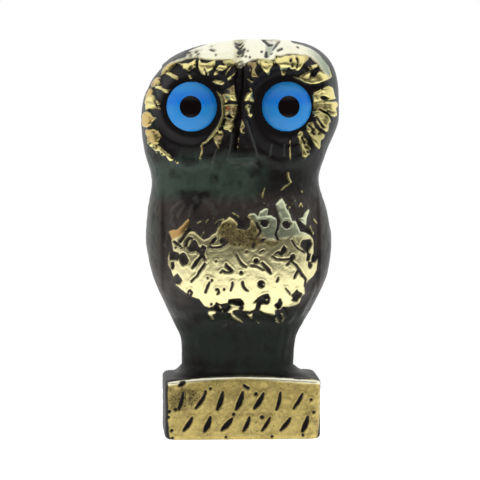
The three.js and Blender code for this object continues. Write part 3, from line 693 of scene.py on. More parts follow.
BREAST_CUTS += chain((272, 255.5, 0.5), (276, 258.5, 0.5), (283, 259, 0.6), (289, 258.5, 0.8))
BREAST_CUTS += chain(
    (291, 260.5, 1.1), (295, 264.5, 0.9), (298, 268.5, 1.0), (301, 274.5, 1.3), (304.5, 278.5, 0.8),
    (304, 285, 0.9),
)
BREAST_CUTS += chain((297.5, 270, 0.9), (294.5, 274, 0.7), (293.5, 277, 0.5))
BREAST_CUTS += chain((289, 261.5, 0.6), (286, 264, 0.5))
BREAST_CUTS += chain((305.5, 250, 0.9), (307.5, 254, 0.9), (306.5, 259.5, 1.1))
BREAST_CUTS += chain((285, 287.5, 0.4), (289.5, 293, 0.5))
BREAST_CUTS += chain((291, 240, 0.7), (294, 245, 0.6), (297, 248.5, 0.5), (303, 252, 0.6))
BREAST_CUTS += chain((256, 222.5, 0.8), (258, 227.5, 1.0), (260.5, 231, 0.8), (258, 236, 0.7))
BREAST_CUTS += chain(
    (276.5, 216, 0.9), (278, 222, 1.1), (277, 229, 0.9), (274.8, 234.5, 0.8), (277, 239, 0.6),
)
BREAST_CUTS += chain((261.5, 240.5, 0.8), (264, 238.7, 0.8)) + chain((253.5, 243.5, 0.8), (253, 247, 0.9))
BREAST_CUTS += chain((260, 252, 0.5), (263, 250.3, 0.8))
BREAST_CUTS += chain((242.5, 282, 1.3), (243.5, 285.5, 1.0), (245.5, 288.5, 0.8), (248, 290, 0.4))
BREAST_CUTS += chain((232.5, 282, 0.9), (232, 286, 0.7), (230.8, 289.3, 0.6))
BREAST_CUTS += chain((209.7, 281.5, 0.6), (207.5, 287, 1.0), (206, 291, 0.8))
BREAST_CUTS += chain((216, 288.7, 0.6), (218.5, 289, 0.7), (219.3, 291, 0.6), (217.5, 292.8, 0.6))
BREAST_CUTS += chain(
    (188.5, 294, 0.5), (189, 290.5, 0.5), (191, 289.3, 0.5), (192.3, 292, 0.8), (190.5, 296, 0.9),
)
BREAST_CUTS += chain((282.5, 307.5, 0.8), (285, 310.5, 1.0), (286.5, 315, 0.9))
BREAST_CUTS += chain((278, 276.5, 0.5), (276.5, 280.5, 0.6))
BREAST_CUTS += dots(
    (261, 283.5, 3.4), (211.5, 303.3, 0.9), (220.5, 271.5, 0.6), (216.2, 260.3, 0.6), (212, 279.3, 0.8),
)
BREAST_CUTS += dots(
    (208, 277, 0.6), (246.3, 251, 0.9), (224.3, 288.5, 0.9), (183, 247.8, 0.7), (177, 247.5, 0.7),
)
BREAST_ISLANDS = dots(
    (263.3, 284, 1.2), (190.3, 242, 1.0), (266.5, 298.7, 1.3), (203.2, 249, 0.8), (222.5, 240.5, 0.5),
)
breast = inside([BREAST, *BREAST_TONGUES])
rusty_edge = inside([RUSTY_EDGE])
matt_band = inside([MATT_BAND])
greenish = inside([GREENISH_RELIEF])
islands = inside(BREAST_ISLANDS)
breast_cuts = np.minimum(inside(BREAST_CUTS), -islands)
relief += 0.3 * smooth(np.maximum(breast, rusty_edge), -0.3, 0.3) + 0.12 * smooth(greenish, -0.3, 0.4)
relief -= 0.5 * smooth(breast_cuts, -0.12, 0.3)
relief += 0.07 * np.exp(-(((breast_cuts + 0.22) / 0.12) ** 2)) * smooth(breast, 0.0, 0.3)

# Elsewhere the front stays dark and rough, with soft lumps like the tips of feathers on the upper breast
# and a few worn flecks of brass. The legs are ribbed.
LUMPS = chain((204, 201, 1.5), (210, 205, 2.2), (216, 213, 1.8)) + chain((193, 206, 1.4), (190, 216, 1.2))
LUMPS += chain((181, 203, 1.8), (172, 212, 1.8))
LUMPS += chain((174, 216, 1.6), (172.5, 222, 2.0), (176, 226, 1.4))
LUMPS += chain((184, 207, 1.2), (179, 216, 1.4))
LUMPS += chain((222, 196, 1.6), (219, 205, 1.8))
LUMPS += chain((232, 197, 1.8), (229, 206, 1.6))
LUMPS += chain((241, 199, 1.6), (244, 208, 1.8))
LUMPS += chain((252, 196, 1.4), (256, 204, 1.4))
LUMPS += chain((196, 199, 2.2), (197, 202, 2.0))
LUMPS += chain((168, 232, 1.0), (166, 245, 1.4))
LUMPS += chain((292, 198, 1.6), (295, 206, 1.6))
LUMPS += chain((226, 324, 1.6), (224, 326, 1.6))
LUMPS += chain((315, 285, 1.0), (309, 300, 1.4), (301, 314, 1.2)) + chain((293, 316, 1.2), (288, 323, 1.6))
RIBS = chain((200, 338, 2.5), (199, 362, 2.0))
RIBS += chain((214, 336, 2.0), (215, 364, 1.6))
RIBS += chain((242, 332, 3.0), (243, 362, 2.4))
RIBS += chain((281, 330, 2.4), (276, 360, 2.0))
RIBS += chain((289, 326, 2.0), (284, 356, 1.6))
RIBS += chain((262, 338, 2.0), (260, 362, 1.8))
FLECKS = chain((287.5, 173, 1.4), (288, 178, 1.5), (290.5, 182, 1.2))
FLECKS += chain((289, 184, 0.9), (285, 186.5, 0.9), (281, 190.5, 0.8))
FLECKS += chain((264.5, 188.5, 0.7), (263.5, 192, 0.8), (262.3, 195.5, 1.3), (262.3, 198, 1.1))
FLECKS += dots((301.5, 192, 1.1))
FLECKS += chain((197.5, 223.5, 0.9), (201, 221.5, 0.8))
FLECKS += chain((206, 222.5, 0.7), (208.5, 219.5, 0.7))
FLECKS += dots((213.8, 218, 1.0))
FLECKS += chain((215, 224, 0.6), (218, 220.5, 0.7), (224, 219, 0.7))
FLECKS += chain((232.5, 213.5, 0.9), (235, 214.5, 1.0), (238.7, 217.3, 1.0))
FLECKS += chain((298.5, 207, 0.8), (300.5, 203.5, 0.8), (302, 207, 0.7))
FLECKS += chain((313.5, 219.5, 1.0), (316.5, 223, 0.7))
FLECKS += dots(
    (211.5, 213.5, 0.8), (264, 203.5, 0.8), (268, 205.5, 0.8), (286, 205, 0.9), (289.5, 207.5, 1.1),
    (288, 210, 0.8),
)
FLECKS += dots(
    (292, 204.5, 0.8), (294.5, 201, 0.8), (190, 216, 0.7), (168.5, 239, 0.7), (166.5, 258, 0.8),
    (165, 250, 0.6),
)
FLECKS += chain((201.5, 236.5, 0.6), (204, 232, 0.8))
FLECKS += chain((281.3, 322.5, 0.7), (283.5, 318, 0.9), (281, 313, 0.9))
FLECKS += chain((219, 307, 0.7), (221, 309.5, 0.8))
FLECKS += dots((227.5, 305.5, 0.9), (222.5, 311.7, 0.8), (213, 162, 0.9))
dark_lumps = inside(LUMPS)
ribs = inside(RIBS)
dark_flecks = inside(FLECKS)
legs = smooth(Z, 9.6, 11.5) * (1 - smooth(Z, 17.0, 19.0))
rough_front = ~turned_away & (breast < 0) & (Z > 11) & (Z < 45)
relief += 0.22 * smooth(dark_lumps, -0.3, 0.25) + 0.15 * smooth(dark_flecks, -0.12, 0.12)
relief += 0.15 * smooth(ribs, -0.4, 0.3)
relief += rough_front * 0.1 * rough(skin, (1.9, 1.9, 1.4), 71) * smooth(-np.maximum(breast, -1), 0.2, 0.8)

# The block is rubbed bright on its front, which keeps a brown mottling. Two rows of bold shallow strokes
# cross it, and its upper edge bends up a little in the middle.
STROKE_ROWS = [
    {"down": 401, "from": 181, "lean": 24, "length": 17},
    {"down": 424, "from": 188, "lean": 31, "length": 15},
]
STROKES = {"count": 7, "pitch": 19.5, "half": 2.1, "sway": 11}
BLOCK_FRONT = [
    (168, 381.5), (186, 379.5), (200, 378.7), (215, 378), (235, 376.8), (243, 376), (262, 376.4),
    (275, 377.6), (285, 379), (300, 379.3), (312, 378), (320, 379.5), (321, 392), (319.8, 425),
    (318, 436), (314, 442), (172, 442), (169, 436), (167.8, 420), (167.6, 395),
]
BLOCK_EDGE = chain(
    (168, 383, 1.5), (200, 380.3, 1.8), (243, 378, 2.1), (285, 380.6, 1.8), (319, 381.5, 1.5),
)
BLOCK_PITS = [[(178.5, 384.5), (181, 382), (185, 381.5), (185.5, 383), (182, 386), (179, 386)]]
BLOCK_PITS += dots(
    (169.3, 411.5, 1.2), (168.5, 417, 1.0), (175.5, 409.5, 1.1), (171.8, 430.5, 1.2), (172.5, 438, 0.9),
)
BLOCK_PITS += dots(
    (205.5, 392, 0.9), (210.5, 389.5, 0.9), (262, 417, 1.4), (256, 394.5, 1.4), (233.5, 414, 1.1),
)
BLOCK_PITS += dots(
    (226, 437, 0.9), (272, 436.5, 1.0), (303, 435, 0.9), (313.5, 412, 1.0), (311, 399.5, 0.9),
)
BLOCK_PITS += chain((244, 387, 0.8), (248, 389.5, 1.0))
BLOCK_ARCH = {"middle": 0.3, "ends": -0.2, "from": 5.5}


def block_strokes():
    """The strokes of both rows, evenly spaced along each, with a lean that sways a little from one to the
    next."""
    marks = []
    for row in STROKE_ROWS:
        for i in range(STROKES["count"]):
            lean = math.radians(row["lean"] + STROKES["sway"] * math.sin(2.4 * i + row["down"]))
            middle = row["from"] + i * STROKES["pitch"]
            off_u = row["length"] / 2 * math.sin(lean)
            off_v = row["length"] / 2 * math.cos(lean)
            half = STROKES["half"] * (0.85 + 0.25 * math.sin(5.1 * i + row["down"]))
            marks += chain(
                (middle - off_u, row["down"] + off_v, 0.45 * half),
                (middle - 0.3 * off_u + 0.6, row["down"] + 0.3 * off_v, half),
                (middle + 0.4 * off_u + 0.6, row["down"] - 0.4 * off_v, 0.8 * half),
                (middle + off_u, row["down"] - off_v, 0.35 * half),
            )
    return marks


block_front = inside([BLOCK_FRONT])
strokes = np.maximum(inside(block_strokes()), inside(BLOCK_PITS))
relief -= 0.42 * smooth(strokes, -0.12, 0.28)
relief += 0.07 * np.exp(-(((strokes + 0.24) / 0.15) ** 2)) * smooth(block_front, 0.0, 0.3)
block_edge = smooth(inside(BLOCK_EDGE), -0.15, 0.15)
relief += 0.07 * rough(skin, 2.4, 67) * smooth(block_front, 0.0, 0.6) + 0.1 * block_edge
arch = mix(BLOCK_ARCH["middle"], BLOCK_ARCH["ends"], np.clip(np.abs(X) / (BLOCK["width"] / 2), 0, 1) ** 2)
arch = arch * smooth(Z, BLOCK_ARCH["from"], BLOCK["height"]) * (1 - figure_share)[:, None]
arch *= smooth(-Y, -2.0, 5.0)

# Feather lines run down each wing at the back, with short cuts across the upper part, and down the tail.
WING_LINES = {
    "x": (2.6, 4.4, 6.2, 7.9, 9.5, 11.0),
    "drawn_in": 2.4,
    "half": 0.16,
    "top": 29.0,
    "bottom": 17.0,
}
COVERTS = {"rows": 4, "top": 38.0, "step": 2.3, "pitch": 2.2, "radius": 1.15, "half": 0.13}
TAIL_LINES = {"x": (-1.9, -0.65, 0.65, 1.9), "top": 21.0, "bottom": 11.2, "half": 0.15}


def back_lines(x, z):
    """How far inside the long feather lines of both wings, and those of the tail, points of the back
    are."""
    depth = np.full_like(x, -1.0)
    for side in (-1, 1):
        for off in WING_LINES["x"]:
            down = np.clip((WING_LINES["top"] - z) / (WING_LINES["top"] - WING_LINES["bottom"]), 0, 1)
            line_x = WING["middle_x"] + side * (off - WING_LINES["drawn_in"] * down**2)
            past = np.maximum(np.maximum(z - WING_LINES["top"], WING_LINES["bottom"] - z), 0)
            depth = np.maximum(depth, WING_LINES["half"] - np.hypot(x - line_x, past))
    for off in TAIL_LINES["x"]:
        past = np.maximum(np.maximum(z - TAIL_LINES["top"], TAIL_LINES["bottom"] - z), 0)
        depth = np.maximum(depth, TAIL_LINES["half"] - np.hypot(x - WING["middle_x"] - off, past))
    return depth


def covert_scales(x, z):
    """How far inside the scalloped lower edges of the small feathers, in rows over the wing: half circles
    side by side, each row half a step along from the one above it."""
    distance = np.full_like(x, 9.0)
    for row in range(COVERTS["rows"]):
        centre_z = COVERTS["top"] - row * COVERTS["step"]
        shift = COVERTS["pitch"] * (row % 2) / 2
        half_pitch = COVERTS["pitch"] / 2
        off = np.mod(x - WING["middle_x"] + shift + half_pitch, COVERTS["pitch"]) - half_pitch
        arc = np.abs(np.hypot(off, z - centre_z) - COVERTS["radius"])
        distance = np.where(z < centre_z, np.minimum(distance, arc), distance)
    return COVERTS["half"] - distance


back_x = X + 0.16 * rough(skin, 0.9, 31)
back_z = Z + 0.16 * rough(skin, 0.9, 47)
back_cuts = back_lines(back_x, back_z)
coverts = covert_scales(back_x, back_z)
relief -= facing_back * 0.3 * smooth(back_cuts, -0.25, 0.2) * np.maximum(wings, tail)
relief -= facing_back * 0.25 * smooth(coverts, -0.25, 0.15) * wings
relief += facing_back * 0.08 * rough(skin, 1.9, 83)

# Where the metal shows: how far inside the edge of a rubbed place, in millimetres, and below 0 outside it.
face_bright = np.minimum(tufts + 0.06 - 0.2 * cracks, -tuft_cuts)
face_bright = np.maximum.reduce([face_bright, flecks, eye_lip])
crown_bright = np.minimum(crown + 0.04, -crown_cuts - 0.03)
breast_bright = np.minimum(np.maximum(breast, rusty_edge) + 0.12 * ragged, -breast_cuts - 0.04)
block_bright = np.minimum(block_front + 0.08 * ragged, -strokes - 0.04)
raised_back = np.maximum(wings, tail) * np.minimum(-back_cuts, -coverts)
back_bright = facing_back * (0.45 * smooth(raised_back, 0.1, 0.6) + 0.3 * ragged) - 0.42
bright = np.maximum.reduce([face_bright, crown_bright, breast_bright, dark_flecks, block_bright, back_bright])
bright = np.where((seat_reach < 4.12) & (Y < 0), -0.3, bright)

# The skin takes its relief, and round the eyes it laps over the glass, with the seats sunk behind.
beside_eye = np.where(Y < 0, smooth(seat_reach, 4.05, 4.6), 1)
seat = (1 - smooth(seat_reach, SEAT_RADIUS - 0.2, SEAT_RADIUS)) * (Y < 0)
skin += normals * (relief * beside_eye)[..., None]
skin[..., 2] += arch
skin[..., 1] = mix(skin[..., 1], -SEAT_BACK, seat)
skin[..., 2] = np.where(rings[:, 0, None] < 0.02, 0.0, np.maximum(skin[..., 2], 0.0))


def grid_faces(rows, columns):
    """Quads between the rings, which close on themselves, and fans to a point below and a point above."""
    row, column = np.meshgrid(np.arange(rows - 1), np.arange(columns), indexing="ij")
    beside = (column + 1) % columns
    quads = np.stack([row * columns + column, row * columns + beside,
                      (row + 1) * columns + beside, (row + 1) * columns + column], -1).reshape(-1, 4)
    around = np.arange(columns)
    after = (around + 1) % columns
    last = (rows - 1) * columns
    lower = np.stack([after, around, np.full(columns, rows * columns)], -1)
    upper = np.stack([last + around, last + after, np.full(columns, rows * columns + 1)], -1)
    return quads.tolist() + lower.tolist() + upper.tolist()


def closed_piece(name, rings_of_points, bottom, top):
    """A smooth closed mesh object from rings of points in millimetres, with a point to close each end."""
    rows, columns = rings_of_points.shape[:2]
    points = np.concatenate([rings_of_points.reshape(-1, 3), [bottom, top]]) * MM
    mesh = bpy.data.meshes.new(name)
    mesh.from_pydata(points.tolist(), [], grid_faces(rows, columns))
    mesh.shade_smooth()
    piece = bpy.data.objects.new(name, mesh)
    bpy.context.scene.collection.objects.link(piece)
    return piece


def paint(piece, name, values):
    """Gives each point of a piece a value or a colour, for its material to read. The points that close the
    ends take theirs from the rings beside them."""
    is_colour = values.ndim == 3
    flat = np.concatenate([values.reshape(-1, *values.shape[2:]), values[:1, 0], values[-1:, 0]])
    if is_colour:
        flat = np.concatenate([flat, np.ones((len(flat), 1))], 1)
    attribute = piece.data.attributes.new(name, "FLOAT_COLOR" if is_colour else "FLOAT", "POINT")
    attribute.data.foreach_set("color" if is_colour else "value", flat.astype(np.float32).ravel())


def tint(tones, colour, share):
    """tones + share (colour - tones), point by point."""
    return mix(tones, np.array(colour), np.clip(share, 0, 1)[..., None])


casting = closed_piece("casting", skin, (0, 0, 0), (PEAK_X, 0, skin[-1, :, 2].max()))

# The tones of the rubbed brass, from gold to olive, brown and rusty where a stain was left, and a nearly
# white tone that is a painted highlight on the crown and along the block's upper edge.
HIGHLIGHT_BRASS = (0.84, 0.82, 0.64)
GOLD_BRASS = (0.80, 0.71, 0.29)
OLIVE_BRASS = (0.52, 0.47, 0.19)
BREAST_BRASS = (0.73, 0.67, 0.36)
DULL_GREEN = (0.24, 0.29, 0.19)
OCHRE_BRASS = (0.50, 0.39, 0.12)
MATT_BROWN = (0.36, 0.28, 0.11)
PALE_GREENISH = (0.62, 0.67, 0.45)
RUSTY_BRASS = (0.48, 0.29, 0.10)
BROWN_BRASS = (0.20, 0.13, 0.06)
RED_RUST = (0.25, 0.06, 0.015)
brass_tone = np.full((*X.shape, 3), GOLD_BRASS)
brass_tone = tint(brass_tone, BREAST_BRASS, smooth(DOWN, 205, 245) * ~turned_away)
brass_tone = tint(brass_tone, OLIVE_BRASS, smooth(inside(OLIVE_TUFTS), -0.1, 0.1))
brass_tone = tint(brass_tone, RUSTY_BRASS, smooth(inside(RUSTY_TUFTS), -0.1, 0.15) * (0.65 + 0.4 * grain))
brass_tone = tint(brass_tone, BROWN_BRASS, smooth(inside(BROWN_TUFTS), -0.1, 0.1) * 0.8)
# Brown in the grooves between a tuft's strands is painted shade.
brass_tone = tint(brass_tone, BROWN_BRASS, smooth(tufts, -0.1, 0.1) * smooth(-strands, 0.1, 0.7) * 0.6)
brass_tone = tint(brass_tone, OLIVE_BRASS, smooth(eye_lip, -0.1, 0.0) * 0.85)
red_spots = inside(dots((229, 108, 2.0), (204.5, 148.5, 1.6)))
brass_tone = tint(brass_tone, RED_RUST, smooth(red_spots, -0.3, 0.0) * 0.8)
# The crown's face above the brow and its top are painted nearly white: a painted highlight where it faces the
# light overhead.
brass_tone = tint(brass_tone, HIGHLIGHT_BRASS, smooth(brow, -0.1, 0.1) * (Z > 54))
brass_tone = tint(brass_tone, HIGHLIGHT_BRASS, (Z > 57) * turned_away)
brass_tone = tint(brass_tone, OLIVE_BRASS, 0.5 * smooth(inside(CROWN_GROOVES[:2]), -0.8, 0.2))
brass_tone = tint(brass_tone, DULL_GREEN, smooth(inside([BLUNT_GREY]), -0.2, 0.2) * 0.8)
crown_side = (smooth(ACROSS, 300, 326) + 0.3 * wobble) * smooth(brow, 0.0, 0.4) * (Z > 54)
brass_tone = tint(brass_tone, DULL_GREEN, crown_side)
brass_tone = tint(brass_tone, OCHRE_BRASS, 0.95 * (1 - smooth(Z, 9.7, 10.2)))
# A nearly white line along the block's upper edge is a painted highlight.
brass_tone = tint(brass_tone, HIGHLIGHT_BRASS, block_edge)
brass_tone = tint(brass_tone, MATT_BROWN, (smooth(matt_band + 0.25 * wobble, -0.2, 0.25)) * 0.8)
brass_tone = tint(brass_tone, PALE_GREENISH, smooth(greenish, -0.3, 0.4) * (matt_band < 0.2))
brass_tone = tint(brass_tone, RUSTY_BRASS, smooth(rusty_edge, -0.3, 0.2))
brass_tone *= 1 + 0.1 * wobble[..., None] + 0.06 * grain[..., None]

# Grime lies in the pits, on the matt band, at the block's upper corner and over the legs. It makes metal
# and patina alike rough and speckled.
BLOCK_CORNER = [(168, 386), (186, 388), (206, 388), (206, 396), (186, 412), (168, 410)]
UNDER_BELLY = [(286, 306), (300, 300), (300, 318), (286, 322)]
BELLY_SIDE = [(162, 262), (162, 240), (173, 238), (173, 275)]
CROWN_SIDE = [(186, 50), (202, 50), (202, 58), (186, 59)]
grime = np.maximum.reduce([
    0.9 * smooth(matt_band, -0.3, 0.3),
    (0.5 + 0.35 * wobble) * (1 - smooth(Z, 9.7, 10.2)) * (1 - block_edge),
    0.95 * smooth(inside([BLOCK_CORNER]), -0.8, 0.6),
    0.9 * smooth(inside([UNDER_BELLY]), -0.8, 0.4),
    0.8 * smooth(inside([BELLY_SIDE]), -0.5, 0.3),
    0.55 * smooth(inside([CROWN_SIDE]), -0.5, 0.3),
    legs,
])

# The tones of the patina: purple-brown, nearly black where it lies thick, and green on the neck, flanks and
# legs, with a lighter grey-green painted highlight on raised lines and lumps and on the crown's face.
BLACK_PATINA = (0.007, 0.005, 0.005)
PURPLE_PATINA = (0.046, 0.037, 0.032)
GREEN_PATINA = (0.056, 0.086, 0.065)
LEG_PATINA = (0.013, 0.018, 0.013)
HIGHLIGHT_PATINA = (0.085, 0.095, 0.085)
blotches = rough(skin, 3.2, 97)
hidden = 1 - smooth(toward_eye, -0.2, 0.35)
neck_down = DOWN + 10 * blotches
on_neck = smooth(neck_down, 146, 168) * (1 - smooth(neck_down, 186, 208))
on_neck *= 1 - 0.75 * smooth(ACROSS + 14 * wobble, 246, 274)
on_neck = mix(on_neck, smooth(Z, 36, 41) * (1 - smooth(Z, 44, 48)), hidden)
at_sides = smooth(np.abs(X + 0.3), 11.5, 14.0) * smooth(Z, 24.0, 30.0)
on_breast = smooth(DOWN, 186, 204) * (1 - smooth(DOWN, 292, 310)) * (1 - hidden)
patina = np.full((*X.shape, 3), BLACK_PATINA)
patina = tint(patina, PURPLE_PATINA, np.maximum(on_breast, 0.7 * hidden))
patina = tint(patina, GREEN_PATINA, np.maximum(on_neck, 0.5 * at_sides) + 0.35 * blotches - 0.1)
patina = tint(patina, LEG_PATINA, smooth(Z, 9.4, 10.5) * (1 - smooth(Z, 18.0, 21.0)))
patina = tint(patina, BLACK_PATINA, 0.75 * smooth(blotches, 0.1, 0.45) + 0.5 * smooth(-wobble, 0.1, 0.5))
# Lighter grey-green on the beak's raised lines, on the lumps and on the crown's face above the brow is a
# painted highlight.
patina_highlight = 0.7 * smooth(beak_lines, -0.15, 0.1) + 0.3 * smooth(dark_lumps, -0.15, 0.25)
patina_highlight += 0.8 * smooth(brow, 0.0, 0.4) * (Z > 54) * smooth(toward_eye, 0.03, 0.5)
patina = tint(patina, HIGHLIGHT_PATINA, patina_highlight)
paint(casting, "bright", np.clip(bright, -1, 1))
paint(casting, "grime", np.clip(grime, 0, 1))
paint(casting, "brass_tone", brass_tone)
paint(casting, "patina_tone", patina)


class Socket:
    """A value in a material. Python's own operators on it add Math nodes."""

    def __init__(self, material, output):
        self.material = material
        self.output = output

    def _math(self, operation, *values):
        return self.material.node("ShaderNodeMath", {"operation": operation}, dict(enumerate(values)))

    def __add__(self, other):
        return self._math("ADD", self, other)

    def __sub__(self, other):
        return self._math("SUBTRACT", self, other)

    def __rsub__(self, other):
        return self._math("SUBTRACT", other, self)

    def __mul__(self, other):
        return self._math("MULTIPLY", self, other)

    def __truediv__(self, other):
        return self._math("DIVIDE", self, other)

    def __pow__(self, other):
        return self._math("POWER", self, other)

    def __abs__(self):
        return self._math("ABSOLUTE", self)

    __radd__ = __add__
    __rmul__ = __mul__

    def above(self, start, end):
        """0 up to start, 1 from end on, and smooth between them."""
        settings = {"interpolation_type": "SMOOTHSTEP"}
        return self.material.node("ShaderNodeMapRange", settings, {"Value": self, 1: start, 2: end})


class Finish:
    """The nodes of a material or of the world."""

    def __init__(self, owner):
        owner.use_nodes = True
        self.tree = owner.node_tree
        self.tree.nodes.clear()
        self.owner = owner

    def node(self, kind, settings=None, inputs=None, output=0):
        """Adds a node of that type, with its settings first and then its sockets' values or links."""
        made = self.tree.nodes.new(kind)
        for key, value in (settings or {}).items():
            setattr(made, key, value)
        for key, value in (inputs or {}).items():
            if isinstance(value, Socket):
                self.tree.links.new(value.output, made.inputs[key])
            else:
                made.inputs[key].default_value = value
        return Socket(self, made.outputs[output]) if made.outputs else None

    def place(self):
        """The place on the object, in metres."""
        return self.node("ShaderNodeTexCoord", output="Object")

    def noise(self, size, detail=3.0, roughness=0.55, stretch=None):
        """Noise from 0 to 1 with lumps of about that size in millimetres."""
        place = self.place()
        if stretch:
            place = self.node("ShaderNodeMapping", inputs={"Vector": place, "Scale": stretch})
        inputs = {"Vector": place, "Scale": 1 / (size * MM), "Detail": detail, "Roughness": roughness}
        return self.node("ShaderNodeTexNoise", inputs=inputs)

    def painted(self, name):
        """The value painted on the points of the piece under that name."""
        return self.node("ShaderNodeAttribute", {"attribute_name": name}, output="Fac")

    def painted_colour(self, name):
        """The colour painted on the points of the piece under that name."""
        return self.node("ShaderNodeAttribute", {"attribute_name": name}, output="Color")

    def blend(self, share, first, second, kind="MIX"):
        """The colour first, going over to second with share."""
        settings = {"data_type": "RGBA", "blend_type": kind, "clamp_factor": True}
        return self.node("ShaderNodeMix", settings, {0: share, 6: first, 7: second}, output=2)

    def bump(self, height, distance, strength=1.0):
        """Fine relief of that distance in millimetres."""
        inputs = {"Height": height, "Distance": distance * MM, "Strength": strength}
        return self.node("ShaderNodeBump", inputs=inputs)

    def surface(self, **inputs):
        """Ends the material with a Principled surface. An input's name is its socket's, with _ for a
        space."""
        named = {key.replace("_", " "): value for key, value in inputs.items()}
        shader = self.node("ShaderNodeBsdfPrincipled", inputs=named)
        self.node("ShaderNodeOutputMaterial", inputs={"Surface": shader})


def material(name):
    return Finish(bpy.data.materials.new(name))


DIRT = (0.05, 0.032, 0.016, 1)
brass = material("patinated_brass")
fine = brass.noise(0.16, detail=4.0, roughness=0.65)
middling = brass.noise(0.7, detail=4.0)
dirty = brass.painted("grime")
edge = brass.painted("bright") + (fine - 0.5) * 0.2 + (middling - 0.5) * 0.14
edge = edge - (middling - 0.35) * dirty * 0.25
metal = edge.above(-0.02, 0.03)
stain = 1 - edge.above(0.0, 0.2)
speckle = (brass.noise(0.3, detail=3.0) + dirty * 0.14).above(0.66, 0.74)
mottle = (brass.noise(1.1, detail=4.0, roughness=0.7) - 0.35 + dirty * 0.2).above(0.1, 0.45)
brass_colour = brass.painted_colour("brass_tone")
brass_colour = brass.blend(mottle * (dirty * 0.75), brass_colour, DIRT)
brass_colour = brass.blend(stain * 0.7, brass_colour, DIRT)
brass_colour = brass.blend(speckle * (0.1 + dirty * 0.8), brass_colour, DIRT)
patina_colour = brass.painted_colour("patina_tone")
patina_colour = brass.blend((middling - 0.3) * 0.6, patina_colour, (*BLACK_PATINA, 1))
brass.surface(
    Base_Color=brass.blend(metal, patina_colour, brass_colour),
    Metallic=metal,
    Roughness=0.40 - metal * 0.08 + dirty * 0.25 + (fine - 0.5) * 0.12,
    Specular_IOR_Level=0.18,
    Coat_Weight=metal * 0.25,
    Coat_Roughness=0.15,
    Normal=brass.bump(fine * 0.6 + middling * 1.2, 0.05, 0.6),
)
casting.data.materials.append(brass.owner)
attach(casting, "root")
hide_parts("owl_casting")

# The eyes are glass cabochons, blue and opaque with a black pupil fused into the dome, each glued into its
# seat. One is a flat back, a short straight girdle and a cap of a sphere, turned a little outwards.
EYE = {"dome": 1.9, "girdle": 1.3, "chamfer": 0.2, "back": 6.5}
EYE_COLUMNS = 96
PUPIL_RADIUS = 1.66


def eye_profile():
    """The radius and the height over the back of each ring: the back, its chamfer, the girdle, then the
    cap, whose sphere has the radius (r² + h²) / 2h for a girdle of radius r and a dome of height h."""
    sphere = (EYE_RADIUS**2 + EYE["dome"] ** 2) / (2 * EYE["dome"])
    turn = math.asin(EYE_RADIUS / sphere) * np.linspace(1, 0, 25)[:-1]
    inner = EYE_RADIUS - EYE["chamfer"]
    radius = np.concatenate([[inner * 0.5, inner * 0.97, inner, EYE_RADIUS], sphere * np.sin(turn)])
    height = EYE["girdle"] + EYE["dome"] - sphere * (1 - np.cos(turn))
    height = np.concatenate([[0, 0, 0.02, EYE["chamfer"]], height])
    return radius, height


def eye_piece(name, eye_x, side):
    """A lathed eye, its axis along -Y and turned outwards, with its face's plane as its UV map."""
    radius, height = eye_profile()
    around = np.arange(EYE_COLUMNS) / EYE_COLUMNS * 2 * math.pi
    local_x = radius[:, None] * np.cos(around)
    local_z = radius[:, None] * np.sin(around)
    turn = side * EYE_TURN

    def placed(across, out, up):
        x = eye_x + across * math.cos(turn) + out * math.sin(turn)
        y = -EYE["back"] + across * math.sin(turn) - out * math.cos(turn)
        return np.stack(np.broadcast_arrays(x, y, EYE_Z + up), -1)

    points = placed(local_x, height[:, None], local_z)
    ends = placed(np.zeros(2), np.array([0, EYE["girdle"] + EYE["dome"]]), np.zeros(2))
    piece = closed_piece(name, points, *ends)
    flat = np.stack([local_x, local_z], -1).reshape(-1, 2)
    flat = np.concatenate([flat, np.zeros((2, 2))]) / (2 * EYE_RADIUS) + 0.5
    corners = np.zeros(len(piece.data.loops), np.int32)
    piece.data.loops.foreach_get("vertex_index", corners)
    face_map = piece.data.uv_layers.new(name="face")
    face_map.data.foreach_set("uv", flat[corners].astype(np.float32).ravel())
    return piece


AZURE_GLASS = (0.033, 0.31, 0.80, 1)
# The next two blues are painted shade: a darker band across the upper middle where the brow shades the glass,
# and a deeper blue at the rim where the metal laps over it.
SHADED_GLASS = (0.010, 0.23, 0.85, 1)
RIM_SHADE_GLASS = (0.020, 0.28, 0.80, 1)
PUPIL_BLACK = (0.006, 0.003, 0.003, 1)
glass = material("blue_glass")
face_map = glass.node("ShaderNodeUVMap", {"uv_map": "face"})
offset = glass.node("ShaderNodeVectorMath", {"operation": "SUBTRACT"}, {0: face_map, 1: (0.5, 0.5, 0)})
away = glass.node("ShaderNodeVectorMath", {"operation": "LENGTH"}, {0: offset}, output="Value")
up_face = glass.node("ShaderNodeSeparateXYZ", inputs={0: face_map}, output="Y")
cloud = glass.noise(2.4)
# Painted shade: the darker band across the upper middle of the glass, and the deeper blue at its rim.
shaded_band = up_face.above(0.46, 0.60) * (1 - up_face.above(0.68, 0.86)) * (0.6 + cloud * 0.7)
blue = glass.blend(shaded_band, AZURE_GLASS, SHADED_GLASS)
blue = glass.blend(away.above(0.41, 0.5) * 0.7, blue, RIM_SHADE_GLASS)
pupil = 1 - (away * (2 * EYE_RADIUS)).above(PUPIL_RADIUS - 0.04, PUPIL_RADIUS + 0.04)
glass.surface(
    Base_Color=glass.blend(pupil, blue, PUPIL_BLACK),
    Roughness=0.07,
    Specular_IOR_Level=0.2,
)
for name, eye_x in EYE_X.items():
    eye = eye_piece(name.replace("_eye", "_glass_eye"), eye_x, 1 if name == "left_eye" else -1)
    eye.data.materials.append(glass.owner)
    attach(eye, "root")
    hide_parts(name)

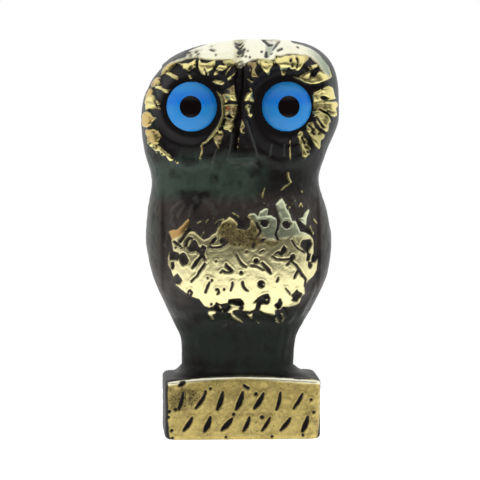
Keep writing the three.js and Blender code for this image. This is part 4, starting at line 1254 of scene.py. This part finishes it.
# The stand is a round sheet of white acrylic lit from below, so that it throws no shadow. It isn't part of
# the owl.
FLOOR_RADIUS = 62
around = np.arange(96) / 96 * 2 * math.pi
floor_mesh = bpy.data.meshes.new("floor")
rim_points = np.stack([np.cos(around), np.sin(around), 0 * around], -1) * FLOOR_RADIUS * MM
floor_mesh.from_pydata(rim_points.tolist(), [], [list(range(96))])
floor = bpy.data.objects.new("floor", floor_mesh)
bpy.context.scene.collection.objects.link(floor)
acrylic = material("white_acrylic")
acrylic.surface(
    Base_Color=(0.8, 0.8, 0.8, 1),
    Roughness=0.6,
    Emission_Color=(1, 1, 1, 1),
    Emission_Strength=0.9,
)
floor.data.materials.append(acrylic.owner)

# A white tent stands round it, bright overhead and at the sides, with a darker opening in front for the
# camera. The sheet under the owl and the tent are both seen as plain white.
TENT = {"bright": 1.15, "opening": 0.08, "beside": 0.2, "ahead": 0.7}
world = bpy.data.worlds.new("tent")
bpy.context.scene.world = world
tent = Finish(world)
way = tent.node("ShaderNodeTexCoord", output="Generated")
forward_share = tent.node("ShaderNodeSeparateXYZ", inputs={0: way}, output="Y") * -1.0
ahead = forward_share.above(TENT["beside"], TENT["ahead"])
up = tent.node("ShaderNodeSeparateXYZ", inputs={0: way}, output="Z")
opening = ahead * up.above(-0.65, -0.35) * (1 - up.above(0.25, 0.6))
glow = TENT["bright"] - opening * (TENT["bright"] - TENT["opening"])
seen = tent.node("ShaderNodeLightPath", output="Is Camera Ray")
lit = tent.node("ShaderNodeBackground", inputs={"Color": (1, 1, 1, 1), "Strength": glow})
plain = tent.node("ShaderNodeBackground", inputs={"Color": (1, 1, 1, 1), "Strength": 1.0})
shown = tent.node("ShaderNodeMixShader", inputs={0: seen, 1: lit, 2: plain})
tent.node("ShaderNodeOutputWorld", inputs={"Surface": shown})

# The camera stands close in front, a little to the owl's right and a little above the middle of it.
PICTURE_WIDTH = 2 * SHEET_MIDDLE
camera = bpy.data.cameras.new("camera")
camera.sensor_width = 36
camera.lens = camera.sensor_width * VIEW["distance"] / (PICTURE_WIDTH * SQUARE)
camera.clip_start = 0.01
stand = bpy.data.objects.new("camera", camera)
stand.location = (np.array(VIEW["target"]) + view_axes()[2] * VIEW["distance"]) * MM
stand.rotation_euler = (math.pi / 2 - VIEW["elevation"], 0, VIEW["azimuth"])
bpy.context.scene.collection.objects.link(stand)
bpy.context.scene.camera = stand
bpy.context.scene.view_settings.view_transform = "Standard"
